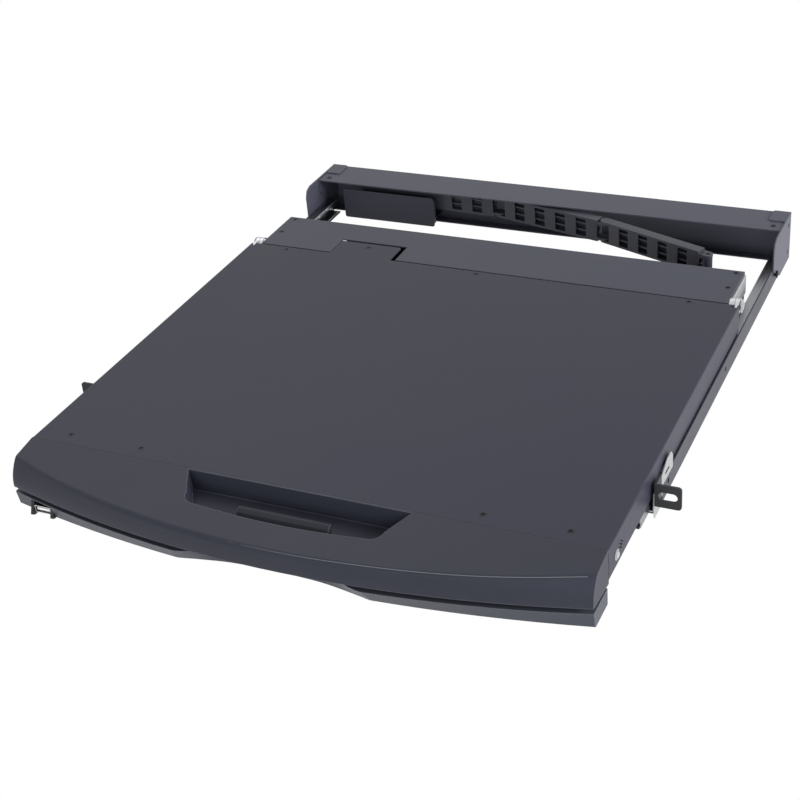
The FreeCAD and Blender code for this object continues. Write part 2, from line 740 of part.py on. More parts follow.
# ---- drawer -------------------------------------------------------------
def tray():
    """Folded tray: floor, sides and the deep rear compartment."""
    y0 = tray_front
    floor = block(-tray_half, tray_half, y0, tray_rear, tray_bottom, tray_bottom + sheet)
    sides = []
    for s in (-1, 1):
        profile = [(y0, tray_bottom), (tray_rear, tray_bottom), (tray_rear, lid_top - sheet),
                   (cover_front, lid_top - sheet), (cover_front, deck_under), (y0, deck_under)]
        sides.append(prism_x(profile, s * tray_half, s * (tray_half - sheet)))
    well = tab_well()
    wall = block(-tray_half + sheet, tray_half - sheet, cover_front, cover_front + sheet,
                 tray_bottom + sheet, lid_top - sheet)
    return union([floor] + sides + [wall]).cut(well)


def tab_well():
    """Space under the display's cable tab."""
    return block(cable_tab_x0 - 0.8, cable_tab_x1 + tab_slot + 1.5, cover_front - 1,
                 lid_rear + cable_tab_reach + tab_slot, lid_bottom + 1, lid_top + 1)


def rear_cover_screws_places():
    rows = (cover_front + cover_screw_back, tray_rear - 4.0)
    return [(s * (tray_half - cover_screw_side), y) for s in (-1, 1) for y in rows]


def rear_cover():
    """Sheet cover of the rear compartment, cut out round the cable tab."""
    top = block(-tray_half, tray_half, cover_front, tray_rear, lid_top - sheet, lid_top)
    notch = block(cable_tab_x0 - 0.8, cable_tab_x1 + tab_slot + 1.5, cover_front - 1,
                  lid_rear + cable_tab_reach + tab_slot, lid_top - 5, lid_top + 1)
    flange = block(-tray_half + 2 * sheet, tray_half - 2 * sheet, tray_rear - 2 * sheet,
                   tray_rear - sheet, lid_top - 8, lid_top - sheet)
    holes = [sunk_hole(x, y, lid_top) for x, y in rear_cover_screws_places()]
    return union([top, flange]).cut([notch] + holes)


def rear_cover_screws():
    return Part.makeCompound([sunk_screw(x, y, lid_top) for x, y in rear_cover_screws_places()])


def connector_places():
    """Rear sockets: centre x, width, height."""
    return {"video": (60.0, 31.0, 12.5), "data": (20.0, 12.0, 11.0), "power": (-20.0, 11.0, 11.0)}


def cable_exit():
    """Centre x, centre z, width and height of the opening for the chain's cables."""
    return -165.0, 2.0, 20.0, 14.0


def rear_panel():
    """Back plate of the drawer with its sockets' cut-outs."""
    plate = block(-tray_half + sheet, tray_half - sheet, tray_rear - sheet, tray_rear,
                  tray_bottom + sheet, lid_top - sheet)
    z = -6.0
    cuts = [block(x - w / 2, x + w / 2, tray_rear - 3, tray_rear + 1, z - h / 2, z + h / 2)
            for x, w, h in connector_places().values()]
    x, z, w, h = cable_exit()
    cuts.append(block(x - w / 2, x + w / 2, tray_rear - 3, tray_rear + 1, z - h / 2, z + h / 2))
    return plate.cut(cuts)


def sockets():
    """Video, data and power sockets on the main board."""
    z = -6.0
    board_top = tray_bottom + sheet + board_lift + 1.6
    parts = []
    for x, w, h in connector_places().values():
        outer = block(x - w / 2 + 0.15, x + w / 2 - 0.15, tray_rear - 14, tray_rear + 4.0,
                      z - h / 2 + 0.15, z + h / 2 - 0.15)
        inner = block(x - w / 2 + 1.2, x + w / 2 - 1.2, tray_rear - 4, tray_rear + 5,
                      z - h / 2 + 1.2, z + h / 2 - 1.2)
        tongue = block(x - w / 2 + 3.2, x + w / 2 - 3.2, tray_rear - 5, tray_rear + 2.5,
                       z - 1.2, z + 1.2)
        foot = block(x - w / 2 + 1, x + w / 2 - 1, tray_rear - 14, tray_rear - 3,
                     board_top, z - h / 2 + 0.3)
        parts.append(union([outer.cut(inner), tongue, foot]))
    return Part.makeCompound(parts)


def main_board():
    """Console board on the floor of the rear compartment."""
    z0 = tray_bottom + sheet + board_lift
    y0 = cover_front + 8
    board = block(-board_left, board_right, y0, tray_rear - sheet - 0.3, z0, z0 + 1.6)
    posts = [stack([(2.5, tray_bottom + sheet), (2.5, z0)], x, y)
             for x in (6 - board_left, board_right - 6) for y in (y0 + 6, tray_rear - 9)]
    chip = block(70, board_right - 28, y0 + 6, y0 + 28, z0 + 1.6, z0 + 3.2)
    return union([board, chip] + posts)


def deck():
    """Top plate of the tray with openings for keys and pointer."""
    plate = block(-tray_half, tray_half, tray_front + 0.2, cover_front - 0.3, deck_under, deck_top)
    cuts = [block(x0 - 0.8, x1 + 0.8, y0 - 0.8, y1 + 0.8, deck_under - 1, deck_top + 1)
            for x0, x1, y0, y1 in key_fields()]
    half = pointer_width / 2 + 0.4
    cuts.append(block(-half, half, pointer_front - 0.4,
                      pointer_front + pointer_depth + 0.4, deck_under - 1, deck_top + 1))
    cuts.append(block(-half, half, pointer_front - button_depth - 1.6, pointer_front - 0.8,
                      deck_under - 1, deck_top + 1))
    return plate.cut(cuts)


def keys_left():
    width = (main_columns + pad_columns) * key_pitch + pad_space
    return -width / 2


def key_fields():
    """Outlines of the two key fields."""
    x0 = keys_left()
    x1 = x0 + main_columns * key_pitch
    x2 = x1 + pad_space
    x3 = x2 + pad_columns * key_pitch
    y0 = keys_front
    y1 = y0 + 6 * key_pitch
    return [(x0, x1, y0, y1), (x2, x3, y0, y1 - key_pitch)]


# Key widths of each row in key pitches, from the front row to the back row.
key_rows = [
    ("space", [1.25, 1.25, 1.25, 5.25, 1.25, 1.25, 1.25, 1.25, 1.0]),
    ("lower", [2.25] + [1.0] * 10 + [1.75, 1.0]),
    ("home", [1.75] + [1.0] * 11 + [2.25]),
    ("upper", [1.5] + [1.0] * 12 + [1.5]),
    ("number", [1.0] * 13 + [2.0]),
    ("function", [1.0] * 15),
]


def make_key(x0, x1, y0, y1):
    """Tapered key cap between two rectangles."""
    g = key_gap / 2 - 0.7
    d = key_draft
    z0 = key_top - key_height
    low = Part.makePolygon([V(x0 + g, y0 + g, z0), V(x1 - g, y0 + g, z0), V(x1 - g, y1 - g, z0),
                            V(x0 + g, y1 - g, z0), V(x0 + g, y0 + g, z0)])
    g += d
    top = Part.makePolygon([V(x0 + g, y0 + g, key_top), V(x1 - g, y0 + g, key_top),
                            V(x1 - g, y1 - g, key_top), V(x0 + g, y1 - g, key_top),
                            V(x0 + g, y0 + g, key_top)])
    return Part.makeLoft([low, top], True, True)


def key_stem(x0, x1, y0, y1, play=0.0):
    """Guide stem under a key, reaching into the key plate."""
    xm, ym = (x0 + x1) / 2, (y0 + y1) / 2
    half = stem_half + play
    z0 = tray_bottom + sheet + 0.4 + key_travel
    return block(xm - half, xm + half, ym - half, ym + half, z0, key_top - key_height + 0.2)


def row_places(index):
    """Outlines of the main keys of one row."""
    y0 = keys_front + index * key_pitch
    x = keys_left()
    places = []
    for w in key_rows[index][1]:
        places.append((x, x + w * key_pitch, y0, y0 + key_pitch))
        x += w * key_pitch
    return places


def pad_places():
    """Outlines of the number pad, its plus and enter keys two rows deep."""
    x0 = key_fields()[1][0]
    y0 = keys_front
    p = key_pitch
    cells = [(0, 2, 0, 1), (2, 3, 0, 1), (3, 4, 0, 2), (3, 4, 2, 4), (3, 4, 4, 5)]
    cells += [(c, c + 1, r, r + 1) for r in range(1, 5) for c in range(3)]
    return [(x0 + a * p, x0 + b * p, y0 + c * p, y0 + d * p) for a, b, c, d in cells]


def keys(places):
    """A group of keys, each with its stem."""
    return Part.makeCompound([make_key(*at).fuse(key_stem(*at)) for at in places])


def key_plate():
    """Guide plate under the keys, bored for their stems."""
    x0, _, y0, _ = key_fields()[0]
    x1, y1 = key_fields()[1][1], key_fields()[0][3]
    top = key_top - key_height - key_travel - 0.3
    plate = block(x0 - 3, x1 + 3, y0 - 3, y1 + 3, top - plate_thick, top)
    walls = block(x0 - 3, x1 + 3, y0 - 3, y1 + 3, tray_bottom + sheet, top - plate_thick)
    walls = walls.cut(block(x0 - 1, x1 + 1, y0 - 1, y1 + 1, tray_bottom, top))
    places = pad_places()
    for index in range(len(key_rows)):
        places += row_places(index)
    wells = []
    for at in places:
        box = key_stem(*at, play=stem_play).BoundBox
        wells.append(block(box.XMin, box.XMax, box.YMin, box.YMax,
                           top - plate_thick - 1, top + 1))
    return plate.fuse(walls).cut(wells)


def touch_pad():
    half = pointer_width / 2
    return block(-half, half, pointer_front, pointer_front + pointer_depth,
                 deck_top - 3.0, deck_top - 0.4)


def pad_button():
    """Right pointer button."""
    half = pointer_width / 2
    y1 = pointer_front - 1.2
    return block(0.4, half, y1 - button_depth, y1, deck_top - 3.0, deck_top + 0.3)


def pointer_board():
    """Board that carries the touch pad and its buttons."""
    half = pointer_width / 2 + 4
    z1 = deck_top - 3.0
    plate = block(-half, half, pointer_front - 0.2, pointer_front + pointer_depth + 3,
                  z1 - 1.6, z1)
    z2 = z1 - button_travel - 0.3
    shelf = block(-half, half, pointer_front - button_depth - 5, pointer_front - 0.2,
                  z2 - 1.6, z2)
    posts = [stack([(2.5, tray_bottom + sheet), (2.5, z2 - 1.6)], x, y)
             for x in (-half + 4, half - 4)
             for y in (pointer_front - button_depth - 1, pointer_front - 5)]
    y = pointer_front + pointer_depth - 2
    rear = [stack([(2.5, tray_bottom + sheet), (2.5, z1 - 1.6)], x, y)
            for x in (4 - half, half - 4)]
    return union([plate, shelf] + posts + rear)


def base_wire(z, mid, end, back, half):
    """Outline of the tray's front bezel at height z."""
    a, b = V(-half, back, z), V(half, back, z)
    c, d = V(half, seam_y - end, z), V(-half, seam_y - end, z)
    arc = Part.Arc(c, V(0, seam_y - mid, z), d).toShape()
    return Part.Wire([Part.makeLine(a, b), Part.makeLine(b, c), arc, Part.makeLine(d, a)])


def base_block(wall, back):
    """Bowed block of the tray's front bezel, its face leaning in downwards."""
    half = lid_half - wall
    mid = bezel_foot_mid - base_top_back - wall
    end = bezel_foot_end - base_top_back - wall
    foot_mid, foot_end = base_foot_mid - wall, base_foot_end - wall
    edge = base_edge if wall == 0 else 0.5
    low = unit_bottom + wall
    wires = [base_wire(low, foot_mid - edge, foot_end - edge, back, half),
             base_wire(low + edge, foot_mid + 0.3, foot_end + 0.1, back, half),
             base_wire(base_top - wall, mid, end, back, half)]
    return Part.makeLoft(wires, True, True)


# Finger recess: half width and reach ahead of the seam, along its two edges.
grip_top = [(100, 62.0), (82, 58.8), (75, 57.3), (69, 56.6), (63, 55.2), (57, 52.8), (50, 49.6),
            (43, 46.9), (35, 44.9), (24, 43.4), (0, 42.8)]
grip_foot = [(100, 55.0), (88, 51.3), (80, 49.6), (74, 48.6), (66, 47.0), (58, 45.4), (50, 44.0),
             (43, 42.8), (35, 41.8), (24, 41.1), (0, 40.8)]


def grip_wire(points, z, grow):
    """Outline of the recess at height z, open to the front."""
    right = [V(x, seam_y - reach + grow, z) for x, reach in points]
    left = [V(-p.x, p.y, z) for p in right[:-1]]
    curve = Part.BSplineCurve()
    curve.interpolate(left + right[::-1])
    a, b = left[0], right[0]
    front = seam_y - 75
    return Part.Wire([curve.toShape(), Part.makeLine(b, V(b.x, front, z)),
                      Part.makeLine(V(b.x, front, z), V(a.x, front, z)),
                      Part.makeLine(V(a.x, front, z), a)])


def grip_cut(grow):
    """Finger recess in the middle of the tray's front bezel."""
    return Part.makeLoft([grip_wire(grip_foot, unit_bottom, grow),
                          grip_wire(grip_top, base_top, grow)], True, True)


def front_bezel():
    """Plastic front of the tray, recessed for the fingers."""
    outer = base_block(0, tray_front)
    inner = base_block(base_wall, tray_front + 5)
    body = outer.cut(inner.cut(grip_cut(base_wall))).cut(grip_cut(0))
    return body.cut([usb_cut()]).removeSplitter()


def usb_front():
    """Front of the tray's bezel at the USB port, halfway up the port."""
    t = usb_x / lid_half
    share = usb_height / 2 / (base_top - unit_bottom)
    mid = base_foot_mid + share * (bezel_foot_mid - base_foot_mid)
    end = base_foot_end + share * (bezel_foot_end - base_foot_end)
    return seam_y - mid + (mid - end) * t * t


def usb_cut():
    half = usb_width / 2
    y = usb_front()
    return block(usb_x - half, usb_x + half, y - 8, y + 12, unit_bottom - 1,
                 unit_bottom + usb_height)


def usb_port():
    """USB socket between two dark cheeks."""
    half = usb_width / 2 - 0.2
    y = usb_front()
    z0 = unit_bottom + 0.3
    z1 = unit_bottom + usb_height - 0.2
    cheek_profile = [(y - 3.5, z0 + 1.0), (y - 1.5, z0), (y + 11.5, z0), (y + 11.5, z1),
                     (y + 0.5, z1)]
    cheeks = [prism_x(cheek_profile, usb_x + s * half, usb_x + s * (half - 2.6))
              for s in (-1, 1)]
    back = block(usb_x - half, usb_x + half, y + 9.5, y + 11.5, z0, z1)
    roof = block(usb_x - half, usb_x + half, y + 1.5, y + 11.5, z1 - 1.2, z1)
    return union(cheeks + [back, roof])


def usb_shell():
    """Bright metal shell of the USB socket."""
    y = usb_front()
    z = unit_bottom + usb_height / 2 - 0.3
    outer = block(usb_x - 6.8, usb_x + 6.8, y - 1.0, y + 9.3, z - 2.9, z + 2.9)
    inner = block(usb_x - 6.3, usb_x + 6.3, y - 2.0, y + 8.8, z - 2.4, z + 2.4)
    tongue = block(usb_x - 5.4, usb_x + 5.4, y + 0.5, y + 9.0, z + 0.2, z + 1.9)
    return union([outer.cut(inner), tongue])


def chain_bracket():
    """Angle on the drawer's rear panel that carries the chain."""
    x, y = chain_start
    z0 = chain_z - chain_height / 2
    z1 = chain_z + chain_height / 2
    foot = block(x + 7, x + 24, tray_rear, tray_rear + 1.5, z0 - 2, chain_z + 4)
    arm = block(x - 6, x + 24, tray_rear, y + 6, z0 - 2 - 1.5, z0 - 2)
    arm = fillet_where(arm, 5.0, lambda e: is_vertical(e) and e.BoundBox.YMin > tray_rear + 1)
    pin = rod(chain_pin_r, (x, y, z0 - 2), (x, y, z1 - 3))
    clear = 2 * chain_skin + 0.5
    sleeve = rod(chain_sleeve_r, (x, y, z0 + clear), (x, y, z1 - clear))
    return union([foot, arm, pin, sleeve])


# ---- cable chain --------------------------------------------------------
def chain_run(start, end, last):
    """Straight group of chain links between two pivots."""
    a, b = V(start[0], start[1], 0), V(end[0], end[1], 0)
    length = (b - a).Length
    z0 = chain_z - chain_height / 2
    z1 = chain_z + chain_height / 2
    half = chain_thick / 2
    skin = chain_skin
    x0, x1 = 7.0, (length if last else length - 7.0)
    parts = [block(x0, x1, -half, half, z, z + skin) for z in (z0, z1 - skin)]
    for z in (chain_z - chain_shelf_z, chain_z + chain_shelf_z):
        parts.append(block(x0, x1, skin - half, half - skin, z - chain_shelf / 2,
                           z + chain_shelf / 2))
    count = max(2, int(round((x1 - x0 - chain_bar) / chain_pitch)) + 1)
    for i in range(count):
        x = x0 + i * (x1 - x0 - chain_bar) / (count - 1)
        parts.append(block(x, x + chain_bar, -half, -half + skin, z0, z1))
        parts.append(block(x, x + chain_bar, half - skin, half, z0, z1))
    if last:
        closed = x0 + 2 * chain_pitch
        parts += [block(closed, x1, y, y + skin, z0, z1) for y in (-half, half - skin)]
    return union(parts), length


def place(shape, start, end):
    angle = math.degrees(math.atan2(end[1] - start[1], end[0] - start[0]))
    shape.rotate(V(0, 0, 0), V(0, 0, 1), angle)
    shape.translate(V(start[0], start[1], 0))
    return shape


def chain_group(index):
    """One rigid group of links between neighbouring pivots."""
    start, end = chain_points[index], chain_points[index + 1]
    last = index == len(chain_points) - 2
    body, length = chain_run(start, end, last)
    body = place(body, start, end)
    ax, ay = (end[0] - start[0]) / length, (end[1] - start[1]) / length
    near = (start[0] + ax * 7.5, start[1] + ay * 7.5)
    far = (end[0] - ax * 7.5, end[1] - ay * 7.5)
    parts = [body]
    r = chain_thick / 2
    t = chain_skin
    z0 = chain_z - chain_height / 2
    z1 = chain_z + chain_height / 2
    joins = [(start, near, 1)] + ([] if last else [(end, far, 0)])
    for at, inner, level in joins:
        lift = level * (t + 0.3)
        for p in (z0 + lift, z1 - lift - t):
            disc = rod(r, (at[0], at[1], p), (at[0], at[1], p + t))
            strip = block(0, 7.6, -r, r, p, p + t)
            strip = place(strip, at, inner)
            parts += [disc, strip]
        if level:
            for p, q in ((z0, z0 + lift + t), (z1 - lift - t, z1)):
                riser = block(6.2, 8.5, -r, r, p, q)
                parts.append(place(riser, at, inner))
    body = union(parts)
    bores = [rod(chain_pin_r + 0.06, (start[0], start[1], z0 - 1), (start[0], start[1], z1 + 1))]
    if not last:
        pins = [rod(chain_pin_r, (end[0], end[1], z0), (end[0], end[1], z0 + 2 * t + 0.3)),
                rod(chain_pin_r, (end[0], end[1], z1 - 2 * t - 0.3), (end[0], end[1], z1))]
        return body.cut(bores).fuse(pins).removeSplitter()
    return body.cut(bores)


# ---- output -------------------------------------------------------------
def build():
    save_pair("rail", rail())
    save_pair("rack_ear", ear())
    save("ear_brackets", Part.makeCompound([ear_bracket(), mirrored(ear_bracket())]))
    save_pair("slide_outer", outer_member())
    save_pair("slide_middle", middle_member())
    save_pair("slide_inner", inner_member())
    save("rear_bridge", bridge())
    save_pair("side_plate", side_plate())
    save("cable_cover", cable_cover())
    save("frame_screws", frame_screws())

    save("display_back_cover", lid_cover())
    save("display_screws", lid_screws())
    save("display_bezel", bezel())
    save("release_bar", release_bar())
    save_pair("latch_peg", latch_peg())
    save("latch_guides", Part.makeCompound([latch_guide(), mirrored(latch_guide())]))
    save("display_frame", display_frame())
    save("menu_buttons", osd_buttons())
    save("menu_board", osd_board())
    save("rubber_stops", bumpers())
    save("screen_glass", screen())
    save("display_panel", panel())
    save("driver_board", driver_board())
    save_pair("hinge_arm", hinge_arm())
    save_pair("hinge_bracket", hinge_bracket())

    save("tray", tray())
    save("rear_cover", rear_cover())
    save("rear_cover_screws", rear_cover_screws())
    save("rear_panel", rear_panel())
    save("rear_sockets", sockets())
    save("main_board", main_board())
    save("keyboard_deck", deck())
    save("key_plate", key_plate())
    for i, (name, _) in enumerate(key_rows):
        save("keys_%s_row" % name, keys(row_places(i)))
    save("keys_number_pad", keys(pad_places()))
    save("touch_pad", touch_pad())
    save("pointer_button_right", pad_button())
    save("pointer_button_left", mirrored(pad_button()))
    save("pointer_board", pointer_board())
    save("front_bezel", front_bezel())
    save("usb_port", usb_port())
    save("usb_socket", usb_shell())
    save("chain_bracket", chain_bracket())
    for i, name in enumerate(("front", "middle", "rear")):
        save("cable_chain_%s" % name, chain_group(i))


build()
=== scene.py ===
"""Looks of the rack console drawer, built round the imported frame. Metres, +Z up."""
import json
import math

import bmesh
import bpy
from mathutils import Matrix, Vector
from mathutils.bvhtree import BVHTree


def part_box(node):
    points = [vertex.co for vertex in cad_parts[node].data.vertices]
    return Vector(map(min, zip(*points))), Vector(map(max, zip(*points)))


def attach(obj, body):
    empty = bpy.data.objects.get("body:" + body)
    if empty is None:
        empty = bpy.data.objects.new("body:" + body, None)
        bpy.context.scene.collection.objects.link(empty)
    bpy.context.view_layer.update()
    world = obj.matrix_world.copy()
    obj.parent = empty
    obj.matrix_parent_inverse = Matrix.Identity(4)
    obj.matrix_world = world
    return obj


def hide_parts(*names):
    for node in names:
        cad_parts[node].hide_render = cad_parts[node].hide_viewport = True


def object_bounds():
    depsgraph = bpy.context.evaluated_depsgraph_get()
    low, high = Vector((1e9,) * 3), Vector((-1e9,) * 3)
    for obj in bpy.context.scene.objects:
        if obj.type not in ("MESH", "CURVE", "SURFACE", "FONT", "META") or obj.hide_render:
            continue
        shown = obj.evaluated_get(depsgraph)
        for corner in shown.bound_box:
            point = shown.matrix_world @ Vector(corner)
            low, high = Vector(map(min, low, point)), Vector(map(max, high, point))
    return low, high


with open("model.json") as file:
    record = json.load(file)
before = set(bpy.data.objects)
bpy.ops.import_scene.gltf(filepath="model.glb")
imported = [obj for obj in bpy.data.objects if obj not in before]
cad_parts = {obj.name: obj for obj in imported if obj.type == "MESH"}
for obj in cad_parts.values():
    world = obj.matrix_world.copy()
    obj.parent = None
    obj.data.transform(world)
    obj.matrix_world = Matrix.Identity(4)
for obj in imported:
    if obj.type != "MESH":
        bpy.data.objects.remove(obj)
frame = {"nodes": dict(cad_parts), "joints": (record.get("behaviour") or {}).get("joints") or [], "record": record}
CAD_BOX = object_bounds()
NODES = frame["nodes"]
MM = 0.001
WELD = 1e-6                             # points closer than this are one
SHARP_ANGLE = math.radians(38)          # folds sharper than this stay crisp


# ---- material tools -----------------------------------------------------
RAMP_STOPS = (0.35, 0.65)               # where a noise starts and ends its blend
NOISE_SPAN = (0.3, 0.7)                 # range that a noise mostly stays in
SQUARE_ON = 0.985                       # rounded normal against the true one, off an edge


def node(tree, kind, x=0, y=0, **values):
    """New shader node; each value sets an input or a property."""
    made = tree.nodes.new(kind)
    made.location = (x, y)
    for key, value in values.items():
        if key in made.inputs:
            made.inputs[key].default_value = value
        else:
            setattr(made, key, value)
    return made


def rgba(colour):
    """Colour with full alpha."""
    return (*colour, 1.0)


def times(colour, factor):
    """Colour made brighter or darker."""
    return tuple(min(1.0, c * factor) for c in colour)


def rubbed_and_highlit(colour, factor):
    """Edge colour for wear and a painted highlight: brighter and half way to grey."""
    grey = sum(colour) / 3
    return tuple(min(1.0, (c + grey) / 2 * factor) for c in colour)


def new_material(name):
    """Material with its tree, its shader and the object's coordinates."""
    mat = bpy.data.materials.new(name)
    mat.use_nodes = True
    tree = mat.node_tree
    tree.nodes.clear()
    out = node(tree, "ShaderNodeOutputMaterial", 600)
    shader = node(tree, "ShaderNodeBsdfPrincipled", 300)
    tree.links.new(shader.outputs[0], out.inputs[0])
    coords = node(tree, "ShaderNodeTexCoord", -900)
    return mat, tree, shader, coords.outputs["Object"]


def noise(tree, vector, scale, detail=3.0, rough=0.55):
    """Noise of a scale, in features per metre."""
    made = node(tree, "ShaderNodeTexNoise", -600, Scale=scale, Detail=detail, Roughness=rough)
    tree.links.new(vector, made.inputs["Vector"])
    return made.outputs["Fac"]


def stretched(tree, vector, scale):
    """Coordinates scaled apart along each axis."""
    made = node(tree, "ShaderNodeMapping", -750, -100)
    made.inputs["Scale"].default_value = scale
    tree.links.new(vector, made.inputs["Vector"])
    return made.outputs[0]


def ramp(tree, value, low, high):
    """Colour from low to high with a noise."""
    made = node(tree, "ShaderNodeValToRGB", -300)
    for element, stop, colour in zip(made.color_ramp.elements, RAMP_STOPS, (low, high)):
        element.position = stop
        element.color = rgba(colour)
    tree.links.new(value, made.inputs[0])
    return made.outputs[0]


def spread(tree, value, low, high):
    """Number from low to high with a noise."""
    made = node(tree, "ShaderNodeMapRange", -300)
    for key, number in zip(("From Min", "From Max", "To Min", "To Max"),
                           (*NOISE_SPAN, low, high)):
        made.inputs[key].default_value = number
    tree.links.new(value, made.inputs["Value"])
    return made.outputs["Result"]


def mix(tree, factor, a, b):
    """Blend of two colours; each value is a socket, a colour or a number."""
    made = node(tree, "ShaderNodeMix", -100, data_type="RGBA")
    for socket, value in ((made.inputs[0], factor), (made.inputs[6], a), (made.inputs[7], b)):
        if hasattr(value, "is_linked"):
            tree.links.new(value, socket)
        elif isinstance(value, tuple):
            socket.default_value = rgba(value)
        else:
            socket.default_value = value
    return made.outputs[2]


def bump(tree, shader, heights, soften=0.0005):
    """Rounded edges, then bumps: (height socket, strength, distance in metres)."""
    edge = node(tree, "ShaderNodeBevel", -100, -400, samples=6)
    edge.inputs["Radius"].default_value = soften
    last = edge.outputs[0]
    for height, strength, distance in heights:
        made = node(tree, "ShaderNodeBump", 50, Strength=strength, Distance=distance)
        tree.links.new(height, made.inputs["Height"])
        tree.links.new(last, made.inputs["Normal"])
        last = made.outputs["Normal"]
    tree.links.new(last, shader.inputs["Normal"])


def wear_and_highlight_mask(tree, size=0.0012, keen=0.80):
    """White on edges and corners, for wear and a painted highlight, from the rounded normal against the true one.
    """
    bevel = node(tree, "ShaderNodeBevel", -800, -500, samples=6)
    bevel.inputs["Radius"].default_value = size
    geo = node(tree, "ShaderNodeNewGeometry", -800, -700)
    dot = node(tree, "ShaderNodeVectorMath", -600, -600, operation="DOT_PRODUCT")
    tree.links.new(bevel.outputs[0], dot.inputs[0])
    tree.links.new(geo.outputs["Normal"], dot.inputs[1])
    made = node(tree, "ShaderNodeMapRange", -400, -600)
    made.inputs["From Min"].default_value = SQUARE_ON
    made.inputs["From Max"].default_value = keen
    tree.links.new(dot.outputs["Value"], made.inputs["Value"])
    return made.outputs["Result"]


# ---- materials ----------------------------------------------------------
def powder_coat(name, colour, rough=0.42, grain=2600.0, relief=0.22, edge=1.5, shine=0.3):
    """Fine powder coat: soft orange peel, faint mottling, paler edges that are partly rubbed wear and partly
    painted highlight.
    """
    mat, tree, shader, at = new_material(name)
    fine = noise(tree, at, grain, 2.0, 0.5)
    peel = noise(tree, at, grain * 0.28, 2.0, 0.5)
    cloud = noise(tree, at, 9.0, 3.0, 0.6)
    body = ramp(tree, cloud, times(colour, 0.93), times(colour, 1.07))
    speck = ramp(tree, fine, times(colour, 0.86), times(colour, 1.14))
    body = mix(tree, 0.4, body, speck)
    wear_and_highlight = wear_and_highlight_mask(tree)
    tree.links.new(mix(tree, wear_and_highlight, body, rubbed_and_highlit(colour, edge)), shader.inputs["Base Color"])
    tree.links.new(spread(tree, cloud, rough - 0.03, rough + 0.04), shader.inputs["Roughness"])
    shader.inputs["Specular IOR Level"].default_value = shine
    bump(tree, shader, [(peel, relief, 0.00006), (fine, relief, 0.00003)])
    return mat


def moulded(name, colour, rough=0.5, grain=1900.0, relief=0.35, edge=1.3, shine=0.3):
    """Spark-eroded moulded plastic."""
    mat, tree, shader, at = new_material(name)
    cell = node(tree, "ShaderNodeTexVoronoi", -600, -200, Scale=grain)
    tree.links.new(at, cell.inputs["Vector"])
    fine = noise(tree, at, grain * 1.4, 3.0, 0.6)
    cloud = noise(tree, at, 14.0, 3.0, 0.6)
    body = ramp(tree, cloud, times(colour, 0.94), times(colour, 1.06))
    pit = ramp(tree, fine, times(colour, 0.84), times(colour, 1.14))
    body = mix(tree, 0.4, body, pit)
    # Paler edges: partly wear, partly painted highlight.
    wear_and_highlight = wear_and_highlight_mask(tree, 0.0011, keen=0.90)
    tree.links.new(mix(tree, wear_and_highlight, body, rubbed_and_highlit(colour, edge)), shader.inputs["Base Color"])
    tree.links.new(spread(tree, fine, rough - 0.04, rough + 0.05), shader.inputs["Roughness"])
    shader.inputs["Specular IOR Level"].default_value = shine
    bump(tree, shader, [(cell.outputs["Distance"], relief, 0.00004), (fine, relief, 0.00002)])
    return mat


def plated(name, colour, rough=0.3, streak=(900.0, 22.0, 900.0), tint=(0.62, 0.6, 0.5),
           edge=1.2):
    """Plated steel with drawing lines along the part and a faint cast."""
    mat, tree, shader, at = new_material(name)
    line = noise(tree, stretched(tree, at, streak), 1.0, 4.0, 0.6)
    spangle = noise(tree, at, 160.0, 2.0, 0.5)
    body = ramp(tree, line, times(colour, 0.82), colour)
    body = mix(tree, ramp(tree, spangle, (0, 0, 0), (0.35, 0.35, 0.35)), body, tint)
    # Paler edges: partly wear, partly painted highlight.
    wear_and_highlight = wear_and_highlight_mask(tree, 0.0006)
    tree.links.new(mix(tree, wear_and_highlight, body, rubbed_and_highlit(colour, edge)), shader.inputs["Base Color"])
    shader.inputs["Metallic"].default_value = 1.0
    tree.links.new(spread(tree, line, rough - 0.07, rough + 0.1), shader.inputs["Roughness"])
    bump(tree, shader, [(line, 0.25, 0.00003)], 0.0003)
    return mat


def rubbery(name, colour):
    """Matt rubber."""
    mat, tree, shader, at = new_material(name)
    fine = noise(tree, at, 3000.0, 3.0, 0.6)
    tree.links.new(ramp(tree, fine, times(colour, 0.8), times(colour, 1.3)),
                   shader.inputs["Base Color"])
    tree.links.new(spread(tree, fine, 0.7, 0.85), shader.inputs["Roughness"])
    bump(tree, shader, [(fine, 0.3, 0.00003)])
    return mat


def circuit(name, colour):
    """Solder resist with the relief of tracks under it."""
    mat, tree, shader, at = new_material(name)
    brick = node(tree, "ShaderNodeTexBrick", -600, -100, Scale=260.0)
    for key, factor in (("Color1", 1.0), ("Color2", 0.8), ("Mortar", 1.9)):
        brick.inputs[key].default_value = rgba(times(colour, factor))
    brick.inputs["Mortar Size"].default_value = 0.03
    tree.links.new(at, brick.inputs["Vector"])
    grain = noise(tree, at, 500.0)
    body = mix(tree, spread(tree, grain, 0.1, 0.4), brick.outputs["Color"], colour)
    tree.links.new(body, shader.inputs["Base Color"])
    tree.links.new(spread(tree, grain, 0.24, 0.34), shader.inputs["Roughness"])
    bump(tree, shader, [(brick.outputs["Fac"], 0.2, 0.00004)])
    return mat


def dark_glass(name, colour):
    """Anti-glare screen surface."""
    mat, tree, shader, at = new_material(name)
    fine = noise(tree, at, 4200.0, 2.0, 0.5)
    cloud = noise(tree, at, 5.0, 2.0, 0.5)
    tree.links.new(ramp(tree, cloud, times(colour, 0.9), times(colour, 1.15)),
                   shader.inputs["Base Color"])
    tree.links.new(spread(tree, fine, 0.2, 0.27), shader.inputs["Roughness"])
    shader.inputs["Specular IOR Level"].default_value = 0.5
    bump(tree, shader, [(fine, 0.06, 0.00001)])
    return mat
